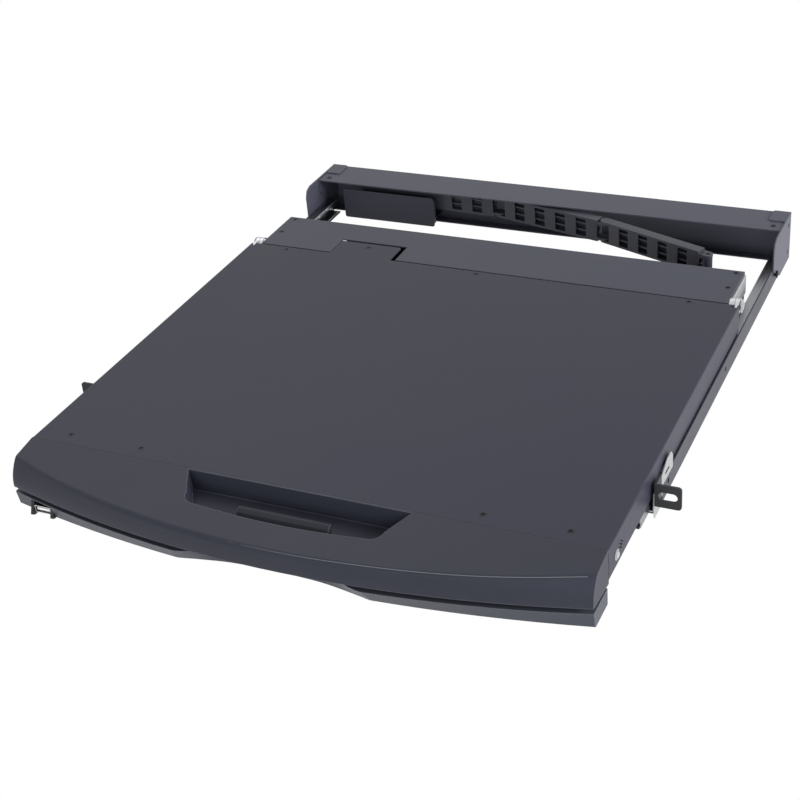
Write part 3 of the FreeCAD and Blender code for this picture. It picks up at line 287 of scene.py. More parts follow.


# The edge factor lightens edges for wear and a painted highlight; the large factors of the bezel, the bar and the
# slide steel are mostly painted highlight.
LID = powder_coat("lid_coat", (0.0245, 0.0255, 0.038), 0.46, shine=0.2)
COVER = powder_coat("cover_coat", (0.037, 0.039, 0.055), 0.44, shine=0.24)
DECK = powder_coat("deck_coat", (0.026, 0.028, 0.036), 0.46, shine=0.22)
FRAME = powder_coat("frame_coat", (0.026, 0.027, 0.038), 0.42, shine=0.25)
BRIDGE = powder_coat("bridge_coat", (0.048, 0.050, 0.068), 0.42, shine=0.25)
EAR = powder_coat("ear_coat", (0.026, 0.027, 0.029), 0.44, shine=0.2)
BEZEL = moulded("bezel_plastic", (0.022, 0.0235, 0.034), 0.44, edge=3.4, shine=0.22)
BASE = moulded("base_plastic", (0.044, 0.047, 0.061), 0.44, edge=2.0, shine=0.25)
BAR = moulded("bar_plastic", (0.017, 0.018, 0.025), 0.38, edge=4.5, shine=0.25)
SURROUND = moulded("surround_plastic", (0.022, 0.023, 0.027), 0.52)
INNER = moulded("inner_plastic", (0.03, 0.03, 0.034), 0.6)
KEYS = moulded("key_plastic", (0.016, 0.017, 0.019), 0.50, grain=2400.0)
CHAIN = moulded("chain_nylon", (0.029, 0.030, 0.040), 0.36, grain=1500.0, relief=0.2, edge=1.8)
PORT = moulded("port_plastic", (0.016, 0.017, 0.019), 0.45)
ZINC = plated("zinc_plate", (0.60, 0.61, 0.63), 0.32, tint=(0.52, 0.52, 0.50))
SLIDE = plated("slide_steel", (0.30, 0.31, 0.33), 0.30, tint=(0.25, 0.26, 0.28), edge=2.4)
SCREW = plated("screw_plate", (0.035, 0.036, 0.042), 0.42, streak=(700.0, 700.0, 700.0),
               tint=(0.03, 0.03, 0.03))
PIN = plated("pin_steel", (0.66, 0.66, 0.66), 0.24, streak=(300.0, 900.0, 900.0))
SHELL = plated("connector_shell", (0.70, 0.70, 0.70), 0.24, streak=(300.0, 300.0, 900.0))
# Far paler than the bezel's own plastic: the crease's highlight is painted into this colour.
CREASE_HIGHLIGHT = moulded("crease_highlight_plastic", (0.085, 0.088, 0.105), 0.34, edge=1.2, shine=0.4)
TONGUE = moulded("tongue_plastic", (0.80, 0.80, 0.81), 0.4)
PANEL = plated("panel_sheet", (0.50, 0.51, 0.52), 0.36, streak=(40.0, 900.0, 900.0))
BOARD = circuit("board_resist", (0.016, 0.10, 0.045))
GLASS = dark_glass("screen_glass", (0.008, 0.009, 0.011))
RUBBER = rubbery("stop_rubber", (0.012, 0.012, 0.013))

DRESS = {
    LID: ("display_back_cover",),
    COVER: ("rear_cover",),
    DECK: ("keyboard_deck",),
    FRAME: ("rail_left", "rail_right", "cable_cover",
            "tray", "rear_panel", "chain_bracket"),
    BRIDGE: ("rear_bridge", "side_plate_left", "side_plate_right"),
    EAR: ("rack_ear_left", "rack_ear_right"),
    BEZEL: ("display_bezel",),
    BASE: ("front_bezel",),
    BAR: ("release_bar",),
    PORT: ("usb_port",),
    SURROUND: ("display_frame",),
    INNER: ("key_plate", "latch_guides"),
    KEYS: ("keys_space_row", "keys_lower_row", "keys_home_row", "keys_upper_row",
           "keys_number_row", "keys_function_row", "keys_number_pad", "touch_pad",
           "pointer_button_left", "pointer_button_right", "menu_buttons"),
    CHAIN: ("cable_chain_front", "cable_chain_middle", "cable_chain_rear"),
    SLIDE: ("slide_outer_left", "slide_outer_right", "slide_middle_left",
            "slide_middle_right"),
    ZINC: ("ear_brackets", "slide_inner_left", "slide_inner_right", "hinge_bracket_left",
           "hinge_bracket_right", "hinge_arm_left", "hinge_arm_right"),
    SHELL: ("rear_sockets", "usb_socket"),
    SCREW: ("frame_screws", "display_screws", "rear_cover_screws"),
    PIN: ("latch_peg_left", "latch_peg_right"),
    PANEL: ("display_panel",),
    BOARD: ("main_board", "menu_board", "driver_board", "pointer_board"),
    GLASS: ("screen_glass",),
    RUBBER: ("rubber_stops",),
}


def dress():
    """Give each CAD node its material."""
    for mat, names in DRESS.items():
        for name in names:
            mesh = NODES[name].data
            mesh.materials.clear()
            mesh.materials.append(mat)


dress()


# ---- mesh tools ---------------------------------------------------------
def piece(name, bm, mat, body, *, replaces=(), smooth=True):
    """Turn a bmesh into a piece that rides on a body."""
    bmesh.ops.recalc_face_normals(bm, faces=bm.faces)
    mesh = bpy.data.meshes.new(name)
    bm.to_mesh(mesh)
    bm.free()
    mesh.materials.append(mat)
    for face in mesh.polygons:
        face.use_smooth = smooth
    made = bpy.data.objects.new(name, mesh)
    bpy.context.scene.collection.objects.link(made)
    if smooth:
        mesh.set_sharp_from_angle(angle=SHARP_ANGLE)
    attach(made, body)
    if replaces:
        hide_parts(*replaces)


def body_of(name):
    """Body that a CAD node moves with."""
    for body, names in frame["record"]["behaviour"]["bodies"].items():
        if name in names:
            return body


def joint(name):
    """A joint's row in the frame."""
    for made in frame["joints"]:
        if made["name"] == name:
            return made


def solids(name):
    """Lowest and highest corners of each separate solid in a CAD node."""
    bm = bmesh.new()
    bm.from_mesh(NODES[name].data)
    bmesh.ops.remove_doubles(bm, verts=bm.verts, dist=WELD)
    bm.verts.ensure_lookup_table()
    seen = set()
    found = []
    for start in bm.verts:
        if start.index in seen:
            continue
        seen.add(start.index)
        stack, group = [start], []
        while stack:
            vert = stack.pop()
            group.append(vert.co.copy())
            for edge in vert.link_edges:
                other = edge.other_vert(vert)
                if other.index not in seen:
                    seen.add(other.index)
                    stack.append(other)
        low = Vector(min(p[i] for p in group) for i in range(3))
        high = Vector(max(p[i] for p in group) for i in range(3))
        found.append((low, high))
    bm.free()
    return found


def middle(low, high, z):
    """Point half way between two corners in plan, at a height."""
    return Vector(((low.x + high.x) / 2, (low.y + high.y) / 2, z))


def loft(bm, rings):
    """Closed skin through rings of points with the same count."""
    made = [[bm.verts.new(p) for p in points] for points in rings]
    count = len(made[0])
    for a, b in zip(made, made[1:]):
        for i in range(count):
            j = (i + 1) % count
            bm.faces.new((a[i], a[j], b[j], b[i]))
    bm.faces.new(made[0][::-1])
    bm.faces.new(made[-1])


def round_rect(x0, x1, y0, y1, z, radius, steps=5):
    """Rectangle outline with rounded corners."""
    points = []
    corners = ((x1 - radius, y1 - radius, 0), (x0 + radius, y1 - radius, 90),
               (x0 + radius, y0 + radius, 180), (x1 - radius, y0 + radius, 270))
    for cx, cy, start in corners:
        for i in range(steps + 1):
            turn = math.radians(start + 90 * i / steps)
            points.append(Vector((cx + radius * math.cos(turn), cy + radius * math.sin(turn), z)))
    return points


def across(axis):
    """Unit axis and the two directions square to it."""
    axis = Vector(axis).normalized()
    side = axis.orthogonal().normalized()
    return axis, side, axis.cross(side)


def circle(centre, side, other, radius, count, shift=0.0):
    """Ring of points round a centre; shift turns it by a share of a step."""
    turns = [2 * math.pi * (i + shift) / count for i in range(count)]
    return [centre + (side * math.cos(turn) + other * math.sin(turn)) * radius
            for turn in turns]


def wire_ring(path, i, centre, radius, count=10):
    """Ring round a centre, square to the path at its point i."""
    ahead = path[min(i + 1, len(path) - 1)] - path[max(i - 1, 0)]
    turn = ahead.to_track_quat("Z", "Y")
    return circle(centre, turn @ Vector((1, 0, 0)), turn @ Vector((0, 1, 0)), radius, count)


def lathe(bm, centre, axis, profile, count=28):
    """Turned solid: (radius, height) points along an axis from centre."""
    axis, side, other = across(axis)
    loft(bm, [circle(centre + axis * height, side, other, radius, count)
              for radius, height in profile])


# ---- fasteners ----------------------------------------------------------
HEAD_POINTS = 48                        # points round a screw head
CROSS_WIDTH = 0.3                       # half width of a recess arm, of its length


def screw(bm, centre, axis, radius, height, domed=False):
    """Screw head with a cross recess, flat or domed."""
    axis, side, other = across(axis)

    def disc(share, rise):
        return circle(centre + axis * rise, side, other, radius * share, HEAD_POINTS, 0.5)

    def cross(share, rise):
        arm = radius * share
        points = []
        for i in range(HEAD_POINTS):
            turn = 2 * math.pi * (i + 0.5) / HEAD_POINTS
            quarter = (turn + math.pi / 4) % (math.pi / 2) - math.pi / 4
            reach = min(arm / math.cos(quarter),
                        arm * CROSS_WIDTH / max(abs(math.sin(quarter)), 1e-6))
            points.append(centre + axis * rise + (side * math.cos(turn) +
                                                  other * math.sin(turn)) * reach)
        return points

    shoulder, crown = (height * 0.25, height * 0.4) if domed else (0, 0)
    loft(bm, [disc(0.55, -height * 1.1), disc(0.96, -height * 0.25), disc(1, 0),
              disc(0.94, shoulder), disc(0.72, crown), cross(0.62, 0),
              cross(0.5, -height * 0.9)])


def sunk_screws(name):
    """Flat countersunk screws in the places of a CAD node."""
    bm = bmesh.new()
    for low, high in solids(name):
        centre = middle(low, high, high.z)
        radius = (high.x - low.x) / 2
        screw(bm, centre, (0, 0, 1), radius, 0.7 * MM)
    piece(name + "_heads", bm, SCREW, body_of(name), replaces=(name,))


def frame_screw_heads():
    """Frame screws, each facing as its CAD screw does: flat on top, domed at the sides."""
    bm = bmesh.new()
    for low, high in solids("frame_screws"):
        centre = (low + high) / 2
        wide = high - low
        if wide.z < 2.0 * MM:
            seat = Vector((centre.x, centre.y, low.z + 0.35 * MM))
            screw(bm, seat, (0, 0, 1), wide.x / 2, 0.9 * MM)
        else:
            out = 1 if centre.x > 0 else -1
            tip = high.x if out > 0 else low.x
            seat = Vector((tip - out * 0.55 * MM, centre.y, centre.z))
            screw(bm, seat, (out, 0, 0), wide.z / 2, 1.1 * MM, domed=True)
            lathe(bm, Vector((seat.x - out * 2.4 * MM, centre.y, centre.z)), (out, 0, 0),
                  [(1.9 * MM, 0), (1.9 * MM, 1.6 * MM)])
    piece("frame_screw_heads", bm, SCREW, "frame", replaces=("frame_screws",))


# ---- keyboard -----------------------------------------------------------
KEY_DRAFT = 1.2 * MM                    # how far a cap's sides lean in
KEY_SKIRT = 4.2 * MM                    # height of a cap
KEY_CORNER = 1.3 * MM                   # corner radius at its foot
# Rings at a cap's upper edge: inset in drafts, drop in mm, corner in foot corners.
KEY_EDGE = ((0.72, 1.0, 1.3), (0.95, 0.35, 1.4), (1.25, 0.06, 1.4), (1.6, 0, 1.4),
            (2.1, 0.10, 1.3))
# Rings in its dished top: share of the way to the middle, drop in mm.
KEY_DISH = ((0.45, 0.30), (0.7, 0.42), (0.95, 0.46))
STEM_LONG = 2.5 * MM                    # half length of a cross stem's arm
STEM_THIN = 0.9 * MM                    # half thickness of that arm


def key_cap(bm, low, high):
    """Rounded cap with a dished top over a cross stem."""
    x0, y0, x1, y1, top = low.x, low.y, high.x, high.y, high.z
    base = top - KEY_SKIRT

    def ring(inset, z, radius):
        return round_rect(x0 + inset, x1 - inset, y0 + inset, y1 - inset, z, radius)

    rings = [ring(0, base, KEY_CORNER), ring(0.12 * MM, base + 0.5 * MM, KEY_CORNER)]
    for inset, drop, corner in KEY_EDGE:
        rings.append(ring(KEY_DRAFT * inset, top - drop * MM, KEY_CORNER * corner))
    rim = KEY_DRAFT * KEY_EDGE[-1][0]
    half = min(x1 - x0, y1 - y0) / 2
    for share, drop in KEY_DISH:
        inset = rim + (half - rim) * share
        rings.append(ring(min(inset, half - 0.2 * MM), top - drop * MM, 0.15 * MM))
    loft(bm, rings)
    xm, ym = (x0 + x1) / 2, (y0 + y1) / 2
    for a, b in ((STEM_LONG, STEM_THIN), (STEM_THIN, STEM_LONG)):
        loft(bm, [round_rect(xm - a, xm + a, ym - b, ym + b, z, 0.3 * MM, 2)
                  for z in (low.z, base + 0.6 * MM)])


def key_caps():
    """Caps in place of every row of CAD keys."""
    for name in DRESS[KEYS]:
        if not name.startswith("keys_"):
            continue
        bm = bmesh.new()
        for low, high in solids(name):
            key_cap(bm, low, high)
        piece(name + "_caps", bm, KEYS, body_of(name), replaces=(name,))


def slab(bm, low, high, corner, edge, dish=0.0):
    """Flat piece with rounded corners and a rolled upper edge."""
    def ring(inset, z):
        return round_rect(low.x + inset, high.x - inset, low.y + inset, high.y - inset, z,
                          max(corner - inset, 0.1 * MM), 6)

    rings = [ring(0, low.z), ring(0, high.z - edge)]
    for i in range(1, 5):
        turn = math.pi / 2 * i / 4
        rings.append(ring(edge * (1 - math.cos(turn)), high.z - edge * (1 - math.sin(turn))))
    if dish:
        rings.append(ring(edge + 0.8 * MM, high.z - dish))
    loft(bm, rings)


def pointer_pieces():
    """Touch pad and its buttons; sizes in mm."""
    for name, corner, edge, dish in (("touch_pad", 2.0, 0.4, 0.15),
                                     ("pointer_button_left", 1.2, 0.5, 0.1),
                                     ("pointer_button_right", 1.2, 0.5, 0.1)):
        bm = bmesh.new()
        low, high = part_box(name)
        slab(bm, Vector(low), Vector(high), corner * MM, edge * MM, dish * MM)
        piece(name + "_face", bm, KEYS, body_of(name), replaces=(name,))


def menu_caps():
    """Round menu buttons; they face down while the display is shut."""
    bm = bmesh.new()
    for low, high in solids("menu_buttons"):
        centre = middle(low, high, 0)
        r = 2.6 * MM
        lathe(bm, centre, (0, 0, 1), [(r * 0.4, low.z + 0.12 * MM), (r * 0.8, low.z),
                                      (r * 0.96, low.z + 0.12 * MM), (r, low.z + 0.4 * MM),
                                      (r, high.z)], 24)
    piece("menu_button_caps", bm, KEYS, "menu", replaces=("menu_buttons",))


def stops():
    """Rubber stops under the display."""
    bm = bmesh.new()
    for low, high in solids("rubber_stops"):
        centre = middle(low, high, 0)
        r = (high.x - low.x) / 2
        tall = high.z - low.z
        lathe(bm, centre, (0, 0, 1), [(r * 0.3, low.z), (r * 0.62, low.z + tall * 0.05),
                                      (r * 0.78, low.z + tall * 0.18),
                                      (r * 0.86, low.z + tall * 0.5), (r * 0.98, high.z - 0.6 * MM),
                                      (r, high.z)], 28)
    piece("rubber_stop_domes", bm, RUBBER, "display", replaces=("rubber_stops",))


def build_pieces():
    """All the pieces that stand in for CAD nodes."""
    for name in ("display_screws", "rear_cover_screws"):
        sunk_screws(name)
    frame_screw_heads()
    key_caps()
    pointer_pieces()
    menu_caps()
    stops()


build_pieces()


# ---- small hardware -----------------------------------------------------
BARREL = 4.6 * MM                       # radius of the hinge's barrel, and its ribs' run
RIBS = 9
SPRING_STEPS, SPRING_COILS = 60, 2.5
GAUGE = 1.1 * MM                        # sheet thickness of a slide member
FOOT_RIVET_START, FOOT_RIVET_STEP, FOOT_RIVET_END = 16 * MM, 62 * MM, 10 * MM
WEB_RIVETS = (330, 347, 371, 388)       # Y of the outer member's rivets, in mm
NOSE_TALL = 2.2 * MM                    # height of a slide's bumper
LINK_END = 7.5 * MM                     # from a chain pivot to the end of a back strip


def hinge_knuckles(side, name):
    """Washers, hex nut and pin end on the hinge pin, and the ribbed barrel inside."""
    bm = bmesh.new()
    low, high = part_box("hinge_bracket_" + name)
    pin = joint("display_hinge")["pos_m"]
    face = high[0] if side > 0 else low[0]
    centre = Vector((face, pin[1], pin[2]))
    axis = (side, 0, 0)
    lathe(bm, centre, axis, [(5.3 * MM, -0.2 * MM), (5.6 * MM, 0.05 * MM), (5.6 * MM, 0.35 * MM),
                             (4.4 * MM, 0.4 * MM), (4.4 * MM, 0.6 * MM)], 36)
    lathe(bm, centre, axis, [(3.6 * MM, 0.5 * MM), (3.7 * MM, 1.0 * MM), (3.3 * MM, 1.2 * MM)], 6)
    lathe(bm, centre, axis, [(1.6 * MM, 1.1 * MM), (1.6 * MM, 1.3 * MM), (1.2 * MM, 1.4 * MM)], 20)
    inner = Vector((face - side * 9.9 * MM, pin[1], pin[2]))
    profile = []
    for i in range(RIBS):
        start = BARREL * i / (RIBS - 1)
        profile += [(BARREL, start), (BARREL, start + 0.3 * MM),
                    (BARREL - 0.5 * MM, start + 0.36 * MM),
                    (BARREL - 0.5 * MM, start + 0.5 * MM)]
    lathe(bm, inner, axis, profile, 32)
    piece("hinge_knuckles_" + name, bm, ZINC, "drawer")


def tube(bm, path, radius):
    """Round wire through points, with flat ends."""
    loft(bm, [wire_ring(path, i, point, radius) for i, point in enumerate(path)])


def peg_springs(side, name):
    """Spring wire half sunk in the lid's side behind the latch peg, and its collar."""
    low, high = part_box("latch_peg_" + name)
    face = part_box("display_back_cover")[1][0] * side
    y, z = (low[1] + high[1]) / 2, (low[2] + high[2]) / 2
    bm = bmesh.new()
    path = []
    for i in range(SPRING_STEPS + 1):
        share = i / SPRING_STEPS
        turn = 2 * math.pi * SPRING_COILS * share
        path.append(Vector((face + side * (0.35 + 0.65 * math.sin(turn)) * MM,
                            y + (6.0 + 4.2 * share) * MM,
                            z + (1.2 + 3.4 * share + 0.9 * math.cos(turn)) * MM)))
    tube(bm, path, 0.28 * MM)
    piece("peg_spring_" + name, bm, SCREW, "display")
    bm = bmesh.new()
    lathe(bm, Vector((face - side * 0.3 * MM, y, z)), (side, 0, 0),
          [(3.9 * MM, 0), (3.9 * MM, 0.5 * MM), (3.6 * MM, 0.75 * MM), (2.75 * MM, 0.75 * MM),
           (2.75 * MM, 0.1 * MM)], 36)
    piece("peg_collar_" + name, bm, ZINC, "display")


def slide_flanges(side, name):
    """Zinc foot of the inner slide member along the tray's side, with its rivets."""
    inner_low, inner_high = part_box("slide_inner_" + name)
    tray_low, tray_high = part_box("tray")
    face = tray_high[0] * side
    x0, thick = face + side * 0.02 * MM, 0.45 * MM
    z0, z1 = tray_low[2] + 0.25 * MM, inner_low[2] - 0.15 * MM
    bm = bmesh.new()
    rings = []
    for y in (tray_low[1] + 0.5 * MM, inner_high[1]):
        rings.append([Vector((x0, y, z0)), Vector((face + side * thick, y, z0)),
                      Vector((face + side * thick, y, z1 - 0.2 * MM)),
                      Vector((face + side * 0.7 * thick, y, z1)), Vector((x0, y, z1))])
    loft(bm, rings)
    zm = (z0 + z1) / 2
    y = tray_low[1] + FOOT_RIVET_START
    while y < inner_high[1] - FOOT_RIVET_END:
        lathe(bm, Vector((face + side * thick * 0.8, y, zm)), (side, 0, 0),
              [(1.7 * MM, 0), (1.6 * MM, 0.35 * MM), (1.1 * MM, 0.6 * MM),
               (0.4 * MM, 0.68 * MM)], 20)
        y += FOOT_RIVET_STEP
    piece("slide_flange_" + name, bm, ZINC, "drawer")


def slide_rivets(side, name):
    """Rivets in the outer member's web."""
    low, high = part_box("slide_outer_" + name)
    web = (high[0] - GAUGE) if side > 0 else (low[0] + GAUGE)
    z = (low[2] + high[2]) / 2
    bm = bmesh.new()
    for y in WEB_RIVETS:
        lathe(bm, Vector((web, y * MM, z)), (-side, 0, 0),
              [(2.3 * MM, -0.2 * MM), (2.2 * MM, 0.25 * MM), (1.7 * MM, 0.5 * MM),
               (0.9 * MM, 0.52 * MM), (0.8 * MM, 0.1 * MM)], 28)
    piece("slide_rivets_" + name, bm, ZINC, "frame")


def slide_noses(side, name):
    """Black moulded bumper at the front end of the middle member."""
    low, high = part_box("slide_middle_" + name)
    x0, x1 = low[0] + 0.35 * MM, high[0] - 0.35 * MM
    bm = bmesh.new()
    rings = []
    for along, inset in ((-2.6, 1.2), (-2.2, 0.5), (-0.6, 0.1), (0.2, 0.1)):
        y, i = low[1] + along * MM, inset * MM
        left, right = x0 + 0.4 * i, x1 - 0.4 * i
        foot, top = low[2] + i, low[2] + NOSE_TALL - 0.3 * i
        rings.append([Vector((left, y, foot)), Vector((right, y, foot)),
                      Vector((right, y, top)), Vector((left, y, top))])
    loft(bm, rings)
    piece("slide_nose_" + name, bm, PORT, "slide_" + name)


SEAM_START = 0.0868                     # X of the top strip, 0.8 mm past the pocket


def seam_shade_strips(side, name):
    """Dark strip in the seam between lid and bezel, on the lid's side and top: painted shade standing in for the
    gap's shadow.
    """
    low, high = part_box("display_back_cover")
    x = high[0] * side
    y = low[1] - 0.12 * MM
    bm = bmesh.new()
    rings = []
    for z in (low[2] + 0.3 * MM, high[2] - 3.2 * MM):
        rings.append([Vector((x + side * out * MM, y + b * MM, z))
                      for out, b in ((-0.3, -0.42), (0.06, -0.42), (0.1, 0), (0.06, 0.42),
                                     (-0.3, 0.42))])
    loft(bm, rings)
    top = high[2]
    rings = []
    for end in (SEAM_START * side, x - side * 1.6 * MM):
        rings.append([Vector((end, y + b * MM, top + h * MM))
                      for b, h in ((-0.3, -0.2), (-0.3, -0.005), (0, 0.02), (0.3, 0.02),
                                   (0.3, -0.2))])
    loft(bm, rings)
    # The dark rubber colour here is painted shade in the seam's gap.
    piece("seam_shade_strip_" + name, bm, RUBBER, "display")


CREASE_BIN = 0.012                      # width of a bin along the crease
CREASE_START = -0.035                   # X where the ridge begins
CREASE_OUT = Vector((0, -0.6, 0.8))     # way that the crease faces
CREASE_UPPER = 0.7                      # upper faces' normals have more Z than this
CREASE_FRONT = -0.5                     # front faces' normals have less Y than this
CREASE_ROUNDS = 12                      # rounds of smoothing
CREASE_STEEP = 3.0                      # the ridge is full after 1 / 3 of its length


def crease_points():
    """Centre line of the rounded crease on the bezel: averaged, smoothed, laid on it."""
    bm = bmesh.new()
    bm.from_mesh(NODES["display_bezel"].data)
    bmesh.ops.remove_doubles(bm, verts=bm.verts, dist=2 * WELD)
    bm.normal_update()
    bins = {}
    for edge in bm.edges:
        if len(edge.link_faces) != 2:
            continue
        upper, lower = sorted((f.normal for f in edge.link_faces), key=lambda n: -n.z)
        if upper.z < CREASE_UPPER or lower.z > CREASE_UPPER or lower.y > CREASE_FRONT:
            continue
        for vert in edge.verts:
            bins.setdefault(round(vert.co.x / CREASE_BIN), []).append(vert.co.copy())
    path = [sum(bins[k], Vector()) / len(bins[k]) for k in sorted(bins)]
    for _ in range(CREASE_ROUNDS):
        inner = [(a + b * 2 + c) / 4 for a, b, c in zip(path, path[1:], path[2:])]
        path = [path[0], *inner, path[-1]]
    skin = BVHTree.FromBMesh(bm)
    bm.free()
    for i, point in enumerate(path):
        hit = skin.ray_cast(point + CREASE_OUT * 5 * MM, -CREASE_OUT)[0]
        path[i] = hit or point
    return path


def crease_bead():
    """Fine moulded ridge along the crease, paler than the bezel as a painted highlight; it grows out of the soft
    left end.
    """
    path = [p for p in crease_points() if p.x > CREASE_START]
    front = CAD_BOX[0].y + 0.01 * MM
    reach = path[-1].x - path[0].x
    bm = bmesh.new()
    rings = []
    for i, point in enumerate(path):
        grown = min(1.0, CREASE_STEEP * (point.x - path[0].x) / reach)
        radius = (0.12 + 0.2 * grown) * MM
        point = point - CREASE_OUT * (0.12 - 0.04 * grown) * MM
        point.y = max(point.y, front + radius)
        rings.append(wire_ring(path, i, point, radius))
    loft(bm, rings)
    piece("bezel_crease_highlight", bm, CREASE_HIGHLIGHT, "display")


def chain_liners():
    """Back strip inside each chain group, so the windows show nylon behind."""
    names = ("chain_front_swing", "chain_middle_bend", "chain_rear_bend")
    points = [Vector(joint(name)["pos_m"]) for name in names]
    rear_low, rear_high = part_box("cable_chain_rear")
    points.append(Vector((rear_low[0] + 6 * MM, (rear_low[1] + rear_high[1]) / 2, points[0].z)))
    for name, start, end in zip(("front", "middle", "rear"), points, points[1:]):
        along = end - start
        along.z = 0
        length = along.length
        along.normalize()
        back = Vector((0, 0, 1)).cross(along)
        if back.y < 0:
            back = -back
        bm = bmesh.new()
        rings = []
        for reach in (LINK_END, length - LINK_END):
            at = start + along * reach
            rings.append([at + back * b * MM + Vector((0, 0, h * MM))
                          for b, h in ((2.1, -8.4), (2.65, -8.4), (2.65, 8.4), (2.1, 8.4))])
        loft(bm, rings)
        piece("chain_liner_" + name, bm, CHAIN, "chain_" + name,
              smooth=False)


def usb_insides():
    """Tongue and contacts in the socket's mouth, set along its longest edge; in mm."""
    mesh = NODES["usb_socket"].data
    spans = [mesh.vertices[e.vertices[0]].co - mesh.vertices[e.vertices[1]].co
             for e in mesh.edges]
    along = max(spans, key=lambda span: abs(span.x))
    along.z = 0
    along.normalize()
    if along.x < 0:
        along = -along
    out = along.cross(Vector((0, 0, 1)))
    if out.y > 0:
        out = -out
    low, high = (Vector(v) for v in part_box("usb_socket"))
    centre = (low + high) / 2
    bm = bmesh.new()

    def brick(a0, a1, b0, b1, c0, c1):
        rings = []
        for b in (b0, b1):
            rings.append([centre + along * a * MM + out * b * MM + Vector((0, 0, c * MM))
                          for a, c in ((a0, c0), (a1, c0), (a1, c1), (a0, c1))])
        loft(bm, rings)

    brick(-5.2, 5.2, -2.0, 4.4, -0.9, 0.7)
    for i in range(4):
        brick(-3.9 + 2.1 * i, -2.7 + 2.1 * i, -2.0, 4.1, -1.1, -0.85)
    piece("usb_tongue", bm, TONGUE, body_of("usb_socket"),
          smooth=False)


def hardware():
    """All the small pieces that CAD leaves out."""
    for side, name in ((1, "right"), (-1, "left")):
        hinge_knuckles(side, name)
        peg_springs(side, name)
        slide_flanges(side, name)
        slide_rivets(side, name)
        slide_noses(side, name)
        seam_shade_strips(side, name)
    crease_bead()
    chain_liners()
    usb_insides()


hardware()


# ---- stage --------------------------------------------------------------
SKY = (0.88, 0.92, 1.0)                 # slightly cool light from all round
SKY_POWER = 0.45
PAPER = (0.8, 0.8, 0.8)
FLOOR_HALF = 3.0
FLOOR_GAP = 0.0002
# Lamps: name, place, aim, size, power, whether they show in reflections.
LAMPS = (("key", (-1.2, 1.0, 2.2), (0, 0.1, 0), (1.8, 1.4), 11, True),
         ("front", (0.3, -2.4, 0.7), (0, 0.0, 0), (2.2, 1.0), 44, False),
         ("side", (2.4, 0.2, 0.8), (0, 0.1, 0), (1.6, 1.0), 96, False))
CAMERA_AT = (0.4692, -0.8509, 0.6212)
AZIMUTH, ELEVATION, ROLL = math.radians(26.906), math.radians(31.23), math.radians(-5.253)
SENSOR, LENS, CLIP_START = 36.0, 70.84, 0.05


def seen_rays(tree):
    """1 for camera, glossy and transmission rays, 0 for the light on the object."""
    path = node(tree, "ShaderNodeLightPath", -800)
    last = path.outputs["Is Camera Ray"]
    for name in ("Is Glossy Ray", "Is Transmission Ray"):
        both = node(tree, "ShaderNodeMath", -500, operation="MAXIMUM")
        tree.links.new(last, both.inputs[0])
        tree.links.new(path.outputs[name], both.inputs[1])
        last = both.outputs[0]
    return last


def split_by_ray(tree, light, shown, output):
    """One shader for the light on the object, the other for rays that see it."""
    join = node(tree, "ShaderNodeMixShader", 0)
    out = node(tree, output, 200)
    tree.links.new(seen_rays(tree), join.inputs[0])
    tree.links.new(light.outputs[0], join.inputs[1])
    tree.links.new(shown.outputs[0], join.inputs[2])
    tree.links.new(join.outputs[0], out.inputs[0])


def studio():
    """Soft light from the world, which looks white."""
    scene = bpy.context.scene
    scene.view_settings.view_transform = "Standard"
    world = bpy.data.worlds.new("studio")
    scene.world = world
    world.use_nodes = True
    tree = world.node_tree
    tree.nodes.clear()
    soft = node(tree, "ShaderNodeBackground", -200, 100)
    soft.inputs[0].default_value = rgba(SKY)
    soft.inputs[1].default_value = SKY_POWER
    white = node(tree, "ShaderNodeBackground", -200, -100)
    white.inputs[0].default_value = rgba((1, 1, 1))
    white.inputs[1].default_value = 1.0
    split_by_ray(tree, soft, white, "ShaderNodeOutputWorld")


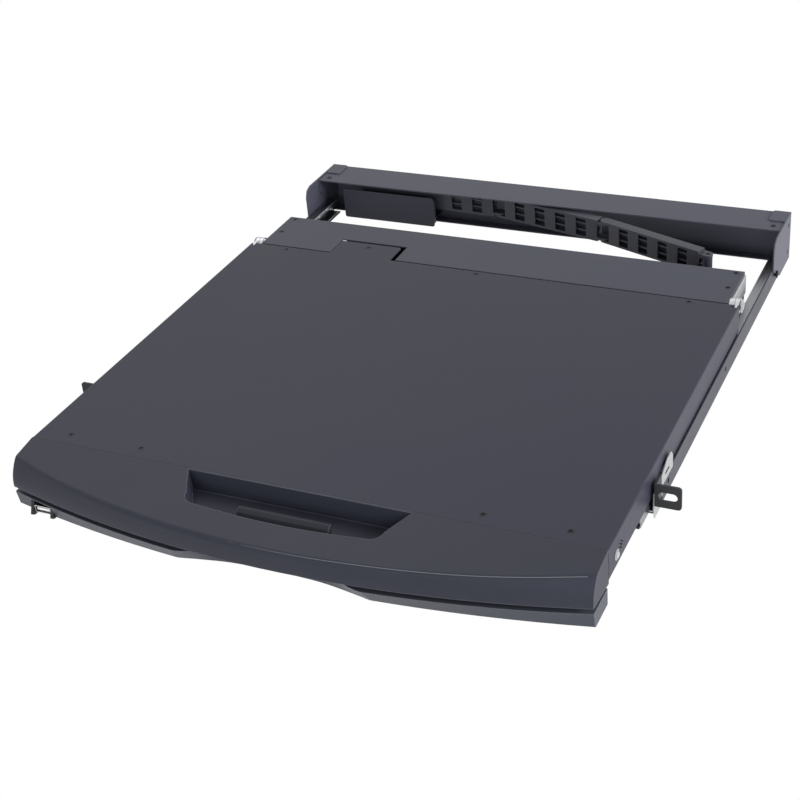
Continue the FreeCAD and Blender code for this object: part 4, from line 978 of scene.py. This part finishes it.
def lamp(name, at, aim, size, power, glossy):
    """Soft area lamp; the low ones aren't glossy, or they mirror in the flat lid."""
    data = bpy.data.lights.new(name, "AREA")
    data.shape = "RECTANGLE"
    data.size, data.size_y = size
    data.energy = power
    made = bpy.data.objects.new(name, data)
    made.location = at
    made.visible_glossy = glossy
    made.rotation_mode = "QUATERNION"
    made.rotation_quaternion = (Vector(aim) - Vector(at)).to_track_quat("-Z", "Y")
    bpy.context.scene.collection.objects.link(made)


def floor():
    """Pale paper to the light, plain white to the camera, so no shadow shows on it."""
    z = CAD_BOX[0].z - FLOOR_GAP
    mesh = bpy.data.meshes.new("floor")
    s = FLOOR_HALF
    mesh.from_pydata([(-s, -s, z), (s, -s, z), (s, s, z), (-s, s, z)], [], [(0, 1, 2, 3)])
    made = bpy.data.objects.new("floor", mesh)
    bpy.context.scene.collection.objects.link(made)
    mat = bpy.data.materials.new("floor_paper")
    mat.use_nodes = True
    tree = mat.node_tree
    tree.nodes.clear()
    paper = node(tree, "ShaderNodeBsdfDiffuse", -200, 100)
    paper.inputs[0].default_value = rgba(PAPER)
    glow = node(tree, "ShaderNodeEmission", -200, -100)
    glow.inputs[1].default_value = 1.0
    split_by_ray(tree, paper, glow, "ShaderNodeOutputMaterial")
    mesh.materials.append(mat)


def camera():
    """Camera at the asked viewing angle, with its small roll."""
    data = bpy.data.cameras.new("camera")
    data.sensor_width = SENSOR
    data.lens = LENS
    data.clip_start = CLIP_START
    made = bpy.data.objects.new("camera", data)
    right = Vector((math.cos(AZIMUTH), math.sin(AZIMUTH), 0))
    up = Vector((-math.sin(AZIMUTH) * math.sin(ELEVATION),
                 math.cos(AZIMUTH) * math.sin(ELEVATION), math.cos(ELEVATION)))
    image_x = right * math.cos(ROLL) + up * math.sin(ROLL)
    image_y = up * math.cos(ROLL) - right * math.sin(ROLL)
    back = image_x.cross(image_y)
    turn = Matrix((image_x, image_y, back)).transposed().to_4x4()
    made.matrix_world = Matrix.Translation(CAMERA_AT) @ turn
    bpy.context.scene.collection.objects.link(made)
    bpy.context.scene.camera = made


studio()
floor()
for row in LAMPS:
    lamp(*row)
camera()
